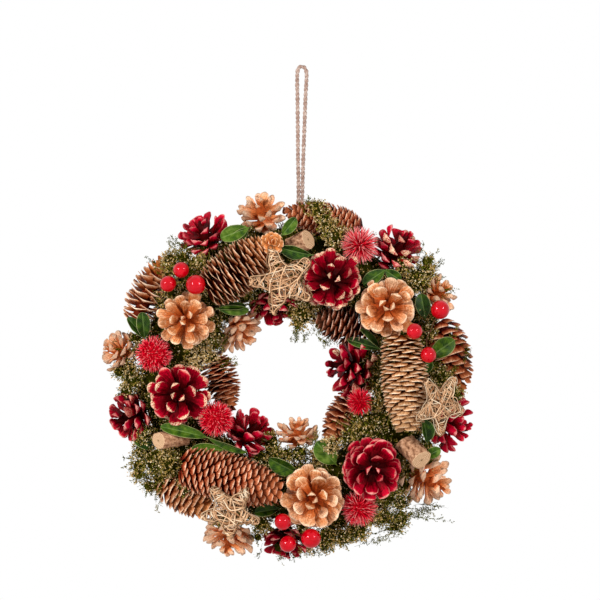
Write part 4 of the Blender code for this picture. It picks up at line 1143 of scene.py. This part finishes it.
# Loose tufts that fill the gaps between pieces: clock, reach, standoff, radius and paleness.
TUFTS = {
    "moss_top_right": [
        (19, 140, 54, 12, 0.1), (14, 152, 52, 9, 0.1), (23, 132, 52, 9, 0.1), (54, 153, 44, 15, 0.1),
        (54, 166, 40, 9, 0.1), (15, 60, 40, 12, 0.15), (27, 71, 26, 9, 0.0), (41, 84, 26, 9, 0.0),
        (17, 70, 42, 9, 0.15), (33, 62, 38, 9, 0.1), (85, 90, 34, 9, 0.0), (40, 98, 40, 10, 0.0),
        (2, 92, 38, 12, 0.0), (88, 140, 46, 12, 0.0), (66, 100, 34, 10, 0.0), (2, 68, 36, 10, 0.1),
        (80, 84, 36, 8, 0.0), (66, 143, 44, 8, 0.0), (47, 150, 46, 9, 0.0), (10, 160, 50, 9, 0.1),
        (15, 145, 56, 9, 0.1), (9, 72, 38, 10, 0.1), (12, 50, 40, 7, 0.1), (4, 58, 38, 6, 0.0),
        (51, 172, 40, 7, 0.0), (77, 78, 38, 8, 0.0), (83, 76, 36, 7, 0.0), (70, 82, 34, 8, 0.0),
        (74, 140, 44, 9, 0.0), (69, 148, 34, 8, 0.0)],
    "moss_bottom_right": [
        (92, 147, 50, 14, 0.0), (97, 160, 44, 10, 0.0), (122, 92, 44, 15, 0.0), (116, 102, 46, 12, 0.0),
        (130, 88, 42, 12, 0.0), (150, 152, 40, 15, 0.05), (156, 164, 36, 12, 0.1), (141, 152, 42, 10, 0.0),
        (166, 160, 36, 12, 0.1), (174, 168, 34, 7, 0.1), (152, 80, 36, 10, 0.25), (160, 84, 34, 9, 0.2),
        (109, 86, 56, 9, 0.1), (100, 92, 40, 8, 0.0), (172, 78, 34, 10, 0.0), (134, 156, 34, 9, 0.0),
        (146, 166, 34, 10, 0.0), (142, 177, 32, 9, 0.0), (92, 83, 36, 8, 0.0), (118, 150, 36, 10, 0.0),
        (110, 146, 38, 12, 0.0), (122, 158, 34, 9, 0.0), (97, 82, 38, 8, 0.0), (174.5, 148, 40, 8, 0.0),
        (161, 166, 34, 10, 0.0), (168, 169, 34, 8, 0.0), (128, 145, 38, 8, 0.0), (139, 164, 34, 9, 0.0),
        (151, 160, 36, 9, 0.1), (148, 80, 58, 8, 0.35), (101, 149, 44, 12, 0.0), (129, 145, 38, 8, 0.0),
        (97, 74, 36, 7, 0.0), (136, 84, 40, 9, 0.0), (138, 150, 40, 8, 0.0), (145, 179, 33, 7, 0.0),
        (91, 76, 36, 7, 0.0), (123.5, 77, 38, 9, 0.0), (117, 73, 36, 7, 0.0), (132, 147, 26, 9, 0.0)],
    "moss_bottom_left": [
        (190, 80, 36, 12, 0.0), (198, 86, 36, 10, 0.0), (236, 150, 42, 17, 0.0), (230, 158, 36, 12, 0.0),
        (242, 158, 36, 11, 0.05), (226, 140, 42, 11, 0.0), (220, 90, 36, 9, 0.0), (268, 149, 40, 11, 0.05),
        (183, 167, 32, 7, 0.1), (250, 90, 36, 9, 0.0), (240, 112, 42, 9, 0.0), (190, 146, 42, 10, 0.0),
        (246, 146, 38, 9, 0.0), (194, 67, 34, 9, 0.0), (199, 146, 38, 11, 0.0), (204, 152, 36, 11, 0.0),
        (264, 156, 38, 8, 0.0), (233, 142, 50, 12, 0.05), (241, 134, 58, 9, 0.1), (247, 150, 44, 10, 0.05),
        (222, 150, 42, 10, 0.0), (238, 168, 36, 9, 0.0), (236, 174, 34, 6, 0.1), (231, 172, 34, 7, 0.0),
        (181, 78, 36, 8, 0.0), (190.5, 160, 34, 5, 0.0), (262, 142, 26, 9, 0.0)],
    "moss_top_left": [
        (287, 88, 44, 12, 0.35), (282, 76, 40, 9, 0.4), (291, 99, 46, 9, 0.3), (275, 92, 40, 10, 0.3),
        (322, 129, 54, 13, 0.0), (314, 120, 48, 11, 0.1), (333, 136, 36, 9, 0.0), (306, 138, 44, 10, 0.15),
        (272, 152, 38, 9, 0.3), (304, 88, 38, 9, 0.0), (352, 98, 42, 9, 0.0), (344, 140, 40, 9, 0.0),
        (300, 142, 40, 9, 0.1), (314, 157, 44, 9, 0.1), (271, 162, 36, 8, 0.0), (300, 80, 38, 8, 0.1),
        (312, 85, 38, 9, 0.0), (331, 86, 40, 10, 0.0), (345, 92, 42, 11, 0.0), (352, 80, 38, 9, 0.0),
        (279, 146, 40, 8, 0.1), (311, 150, 44, 8, 0.0), (320, 136, 46, 9, 0.05), (294.5, 84, 40, 10, 0.0),
        (314, 77, 32, 8, 0.05), (283, 150, 38, 7, 0.0), (318, 150, 44, 8, 0.0), (334, 74, 36, 8, 0.0),
        (298.5, 73, 38, 7, 0.0), (340, 80, 38, 9, 0.0), (292, 76, 38, 7, 0.0), (326, 146, 36, 9, 0.0)],
}
# Whiskers that trail out of the moss: clock, reach, standoff, clock direction, lift and length.
WHISKERS = {
    "moss_top_right": [
        (9, 158, 44, 352, 10, 15), (12, 160, 44, 10, 10, 9), (55, 165, 44, 40, 10, 20),
        (50, 166, 42, 30, 5, 16), (62, 168, 40, 75, 0, 8), (14, 56, 42, 180, 5, 22),
        (28, 56, 40, 165, 5, 12), (45, 54, 42, 170, 5, 9), (10, 60, 42, 200, 5, 16),
        (78, 162, 44, 30, 5, 8), (85.5, 175, 44, 8, 10, 11), (28, 150, 50, 20, 20, 10)],
    "moss_bottom_right": [
        (146, 170, 38, 80, 5, 12), (141, 178, 36, 84, 0, 38), (136, 180, 34, 84, 0, 34),
        (142, 176, 35, 90, 0, 30), (153, 181, 34, 70, 0, 34), (154, 181, 34, 66, 0, 26),
        (162, 176, 32, 75, 0, 14), (150, 172, 36, 90, 5, 10), (160, 172, 32, 90, 0, 9),
        (172, 172, 32, 140, 5, 6), (177, 174, 32, 190, 5, 9), (92, 160, 50, 20, 15, 8),
        (130, 80, 44, 300, 10, 10), (158, 80, 40, 330, 20, 10)],
    "moss_bottom_left": [
        (183, 172, 32, 185, 5, 10), (228, 170, 36, 215, 0, 12), (234, 168, 38, 245, 0, 12),
        (241, 163, 36, 262, 0, 6), (232, 166, 40, 228, 5, 14), (237, 168, 34, 250, -5, 11)],
    "moss_top_left": [
        (318, 156, 48, 310, 5, 20), (320, 158, 42, 318, 5, 16), (312, 156, 46, 290, 0, 16),
        (284, 70, 42, 110, 10, 12), (276, 160, 38, 280, 0, 10), (290, 80, 44, 80, 20, 10)],
}


def blanket_radius(clock, wrap):
    """The moss's outer radius round the ring's section, with its mounds."""
    radius = MOSS_RADIUS
    for mound_clock, mound_wrap, height, spread in MOUNDS:
        along = RING_REACH * np.radians((clock - mound_clock + 180) % 360 - 180)
        across = STRAW_RADIUS * np.radians(wrap - mound_wrap)
        radius = radius + height * np.exp(-(along ** 2 + across ** 2) / spread ** 2)
    return radius


def in_the_open(points):
    """Which points lie outside the cones, taken as slightly shrunken ellipsoids, and in front of the ring's
    flat back."""
    clear = points[:, 1] < BACK_Y - 5 * MM
    for axis, middle, length, radius in CONE_CORES:
        off = points - middle
        along = off @ axis
        across = np.linalg.norm(off - along[:, None] * axis, axis=1)
        clear &= (2 * along / length) ** 2 + (across / radius) ** 2 > 0.55
    return clear


def sprigs(pile, roots, outward, pale, rng):
    """Moss sprigs where there is room: a thin stem and four small round leaves, all closed shells."""
    clear = in_the_open(roots)
    roots, outward, count = roots[clear], outward[clear], int(clear.sum())
    if not count:
        return
    # Greener and browner patches, about 20 mm across.
    green = np.sin(roots[:, 0] * 170 + 2 * np.sin(roots[:, 2] * 230)) * np.sin(roots[:, 2] * 190 + 1.3)
    base = np.clip(0.12 + 0.16 * (1 + green) + pale + rng.normal(0, 0.07, count), 0.0, 0.9)
    grow = unit(outward + rng.normal(0, 0.55, (count, 3)))
    length = rng.uniform(2.4, 6.0, count)[:, None] * MM

    def shades(lot, low, high):
        """The tints of leaflets of one lot each, from low at the root to high at the tip, which gives them
        painted shade near the root.
        """
        return np.stack([stacked(lot, height, 0.0, 0.0) for height in (low, high)], 1)

    stems = rng.uniform(0.20, 0.34, count) * MM
    pile.buds(roots - grow * MM, roots + grow * length, stems, shades(base, 0.0, 0.7), 0.3)
    for step in range(4):
        start = roots + grow * length * (0.30 + 0.22 * step)
        spread = unit(0.7 * grow + rng.normal(0, 0.8, (count, 3)))
        bud = rng.uniform(1.3, 2.5, count)[:, None] * MM
        faded = rng.random(count) < 0.22 + 0.08 * step - 0.10 * green + 0.8 * pale
        lot = np.where(faded, rng.uniform(0.60, 1.0, count), base + rng.uniform(0.0, 0.25, count))
        pile.buds(start, start + spread * bud, rng.uniform(0.52, 0.95, count) * MM,
                  shades(np.clip(lot, 0, 1), 0.25 + 0.15 * step, 0.70 + 0.10 * step), 0.55)


def plume(pile, root, way, length, rng):
    """A loose spray of moss: a bent stem, side twigs, and small leaves on both."""
    run = np.linspace(0, 1, 7)
    sway = unit(rng.normal(0, 1, 3)) * length * 0.22 * MM
    line = root + way * (length * MM * run)[:, None] + sway * (run ** 2)[:, None]
    lot = rng.uniform(0.05, 0.35)
    tubes(pile, line[None], np.linspace(0.16, 0.06, 7)[None] * MM, np.array([lot, 0.5, 0.0, 0.0]), sides=3)
    twigs = int(3 + length * 0.7)
    start = smooth_line(line, 3 * twigs)[rng.integers(twigs // 2, 3 * twigs, twigs)]
    reach = rng.uniform(1.5, 5.0, (twigs, 1)) * MM
    spread = unit(rng.normal(0, 0.8, (twigs, 3)) + way)
    shades = np.array([[lot, 0.5, 0, 0], [lot, 0.8, 0, 0]])
    pile.buds(start, start + spread * reach, np.full(twigs, 0.10 * MM), np.tile(shades, (twigs, 1, 1)), 0.2)
    shades[1, 0] += 0.3
    leaves = 5 * twigs
    at = np.repeat(start, 5, 0) + np.repeat(spread * reach, 5, 0) * rng.uniform(0.2, 1.1, (leaves, 1))
    turn = unit(rng.normal(0, 1, (leaves, 3)) + 0.5 * way)
    pile.buds(at, at + turn * rng.uniform(0.8, 1.6, (leaves, 1)) * MM, rng.uniform(0.35, 0.62, leaves) * MM,
              np.tile(shades, (leaves, 1, 1)), 0.5)


BLANKET_SPRIGS = 1850  # on each quarter, before those that have no room


def moss_piece(node, start):
    """A quarter of the moss, from the clock angle of its start: a matted base with sprigs all over it, loose
    tufts and trailing sprays."""
    rng = dice(node)
    pile = Pile()
    clocks = start + np.linspace(0.15, 89.85, 56)[:, None]
    wraps = np.linspace(-104, 104, 27)[None]
    outer = blanket_radius(clocks, wraps) - 0.6
    outer = outer + 0.7 * drift(np.radians(clocks) * 37, 3) * drift(np.radians(wraps) * 9, 4)
    rows = np.concatenate([section_point(clocks, wraps, outer),
                           section_point(clocks, wraps[:, ::-3], STRAW_RADIUS + 1.0)], 1)[:, ::-1]
    # The matted base takes a low second number: painted shade under the sprigs.
    pile.lofts(rows[None], np.array([0.12, 0.15, 0.0, 0.0]))
    clock = rng.uniform(start + 0.5, start + 89.5, BLANKET_SPRIGS)
    wrap = rng.uniform(-106, 106, BLANKET_SPRIGS)
    radius = blanket_radius(clock, wrap)
    roots = section_point(clock, wrap, radius - 0.8)
    ahead = section_point(clock, wrap, radius + 1.0)
    sprigs(pile, roots, unit(ahead - roots), 0.0, rng)
    for clock, reach, standoff, size, pale in TUFTS[node]:
        centre, size = seat(clock, reach, standoff), size * MM
        core = 0.70 * size
        profile = [(core * math.cos(a), core * max(math.sin(a), 0.05)) for a in np.linspace(math.pi, 0, 7)]
        # Each tuft's core takes a low second number: painted shade under its sprigs.
        turned(pile, centre, UP, profile, 10, (0.12, 0.15, 0.0, 0.0))
        count = int(1.22 * (size / MM) ** 2)
        outward = unit(rng.normal(0, 1, (count, 3)) + [0.0, -0.5, 0.0])
        squash = np.array([1.0, 0.8, 1.0]) * (1 + 0.15 * drift(outward @ [3.0, 2.0, 5.0], 9)[:, None])
        sprigs(pile, centre + outward * squash * size * 0.72, outward, pale, rng)
    for clock, reach, standoff, aim, lift, length in WHISKERS[node]:
        for _ in range(3 if length > 20 else 5):
            root = seat(clock + rng.normal(0, 2.0), reach - 4 + rng.normal(0, 3), standoff + rng.normal(0, 3))
            turn = min(1.0, 14 / length)
            plume(pile, root, pointing(aim + rng.normal(0, 16) * turn, lift + rng.normal(0, 12) * turn),
                  (length + 4) * rng.uniform(0.45, 1.0), rng)
    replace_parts(pile.build(node + "_tufts", [DRIED_MOSS], smooth=False), node)


for quarter, node in enumerate(("moss_top_right", "moss_bottom_right", "moss_bottom_left", "moss_top_left")):
    moss_piece(node, 90 * quarter)


# ------------------------------------------------------------------ hanging twine

# The loop's middle line: across and up from the frame's origin, in millimetres.
TWINE_ROUTE = [
    (-3.6, -159.0), (-3.6, -148), (-3.5, -136), (-3.3, -122), (-3.3, -106), (-3.7, -90), (-3.8, -74),
    (-3.9, -58), (-4.1, -42), (-4.2, -28), (-4.5, -15), (-4.4, -4.0), (-3.2, 1.2), (-0.2, 2.9),
    (3.2, 1.0), (4.6, -4.5), (4.2, -15), (3.5, -28), (3.0, -42), (2.4, -58), (1.8, -74), (1.3, -90),
    (0.8, -106), (0.4, -122), (0.1, -136), (0.1, -148), (0.1, -159.0),
]
PLY_PITCH = 9.0  # millimetres of twine to one turn of a ply
PLY_OFFSET = 0.90  # from the twine's middle to a ply's
TWINE_HAIRS = 520


def hanging_twine():
    """Two hairy plies of jute laid round each other along the loop."""
    rng = dice("hanging_twine")
    pile = Pile()
    route = np.array([(x, 0.0, z) for x, z in TWINE_ROUTE]) * MM
    steps = 560
    line = smooth_line(route, steps)
    length = np.linalg.norm(np.diff(line, axis=0), axis=1).sum()
    along = unit(np.gradient(line, axis=0))
    front = np.broadcast_to([0.0, -1.0, 0.0], line.shape)
    side = unit(np.cross(front, along))
    run = np.linspace(0, length / MM, steps)
    plies = []
    for ply in range(2):
        turn = 2 * math.pi * run / PLY_PITCH + ply * math.pi
        plies.append(line + PLY_OFFSET * MM * (np.cos(turn)[:, None] * side + np.sin(turn)[:, None] * front))
    thick = (1.16 + 0.12 * drift(run[None] * 0.5, 8) + 0.05 * np.sin(run[None] * 3.1)) * MM
    tone = 0.62 + 0.26 * drift(run * 0.45, 11) + 0.12 * drift(run * 2.3, 12)
    tints = stacked(tone[None, :, None], 0.85, np.zeros((2, 1, 8)), 0.0)
    tubes(pile, np.array(plies), thick, tints, sides=8)
    count = TWINE_HAIRS
    at = rng.integers(3, steps - 4, count)
    around = rng.uniform(0, 2 * math.pi, count)
    out = np.cos(around)[:, None] * side[at] + np.sin(around)[:, None] * front[at]
    lean = unit(out * rng.uniform(0.3, 1.0, (count, 1)) + along[at] * rng.choice([-1, 1], (count, 1)))
    roots = line[at] + out * 1.2 * MM
    hairs = rng.uniform(1.0, 2.6, count)[:, None] * MM
    tone = np.tile(np.array([[0.6, 0.8, 0.0, 0.0], [0.95, 1.0, 0.0, 0.0]]), (count, 1, 1))
    pile.buds(roots, roots + lean * hairs, np.full(count, 0.10 * MM), tone)
    twine = pile.build("jute_twine", [SPUN_JUTE])
    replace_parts(twine, "hanging_twine")


hanging_twine()


# ------------------------------------------------------------------ studio

def studio():
    """A pale floor under the wreath, a white room, two softboxes and the camera straight in front."""
    scene = bpy.context.scene
    made, tree, shader = new_finish("painted_studio_floor", 0.9, specular=0.1)
    where = add(tree, "TexCoord", output="Object")
    haze = add(tree, "TexNoise", {"Vector": where, "Scale": per(400), "Detail": 1.0})
    body = add(tree, "ValToRGB", [haze], stops=[(0.3, "#F4F4F4"), (0.7, "#FAFAFA")])
    tree.links.new(body, shader.inputs["Base Color"])
    mesh = bpy.data.meshes.new("studio_floor")
    left, right, near, far, level = -1.1, 1.1, -1.6, 0.55, -0.62
    mesh.from_pydata([(left, near, level), (right, near, level), (right, far, level), (left, far, level)], [],
                     [(0, 1, 2, 3)])
    mesh.materials.append(made)
    floor = bpy.data.objects.new("studio_floor", mesh)
    scene.collection.objects.link(floor)

    world = bpy.data.worlds.new("white_room")
    world.use_nodes = True
    scene.world = world
    tree = world.node_tree
    # What is seen, straight or in a gloss, is white; what lights the wreath from all round is dim.
    rays = add(tree, "LightPath").node.outputs
    seen = add(tree, "Math", (rays["Is Camera Ray"], rays["Is Glossy Ray"]), **LARGER)
    seen = add(tree, "Math", (seen, rays["Is Transmission Ray"]), **LARGER)
    dim = add(tree, "Background", {"Color": (1, 1, 1, 1), "Strength": 0.30})
    white = add(tree, "Background", {"Color": (1, 1, 1, 1), "Strength": 1.0})
    both = add(tree, "MixShader", (seen, dim, white))
    tree.links.new(both, tree.nodes["World Output"].inputs["Surface"])

    middle = np.array([RING_X, -0.04, RING_Z])
    for name, place, size, power in (("key_softbox", (-1.35, -1.5, 0.60), 0.45, 30.5),
                                     ("fill_softbox", (1.3, -1.5, 0.65), 0.45, 21.0)):
        lamp = bpy.data.lights.new(name, "AREA")
        lamp.energy, lamp.size = power, size
        holder = bpy.data.objects.new(name, lamp)
        holder.location = middle + place
        holder.rotation_euler = Vector(place).to_track_quat("Z", "Y").to_euler()
        scene.collection.objects.link(holder)

    camera = bpy.data.cameras.new("camera")
    holder = bpy.data.objects.new("camera", camera)
    distance, view_height = 4.00, 0.576
    camera.sensor_width = 36.0
    camera.lens = camera.sensor_width * distance / view_height
    holder.location = (RING_X + 0.0115, -0.04 - distance, RING_Z + 0.071)
    holder.rotation_euler = (math.pi / 2, 0, 0)
    scene.collection.objects.link(holder)
    scene.camera = holder
    scene.view_settings.view_transform = "Standard"


studio()
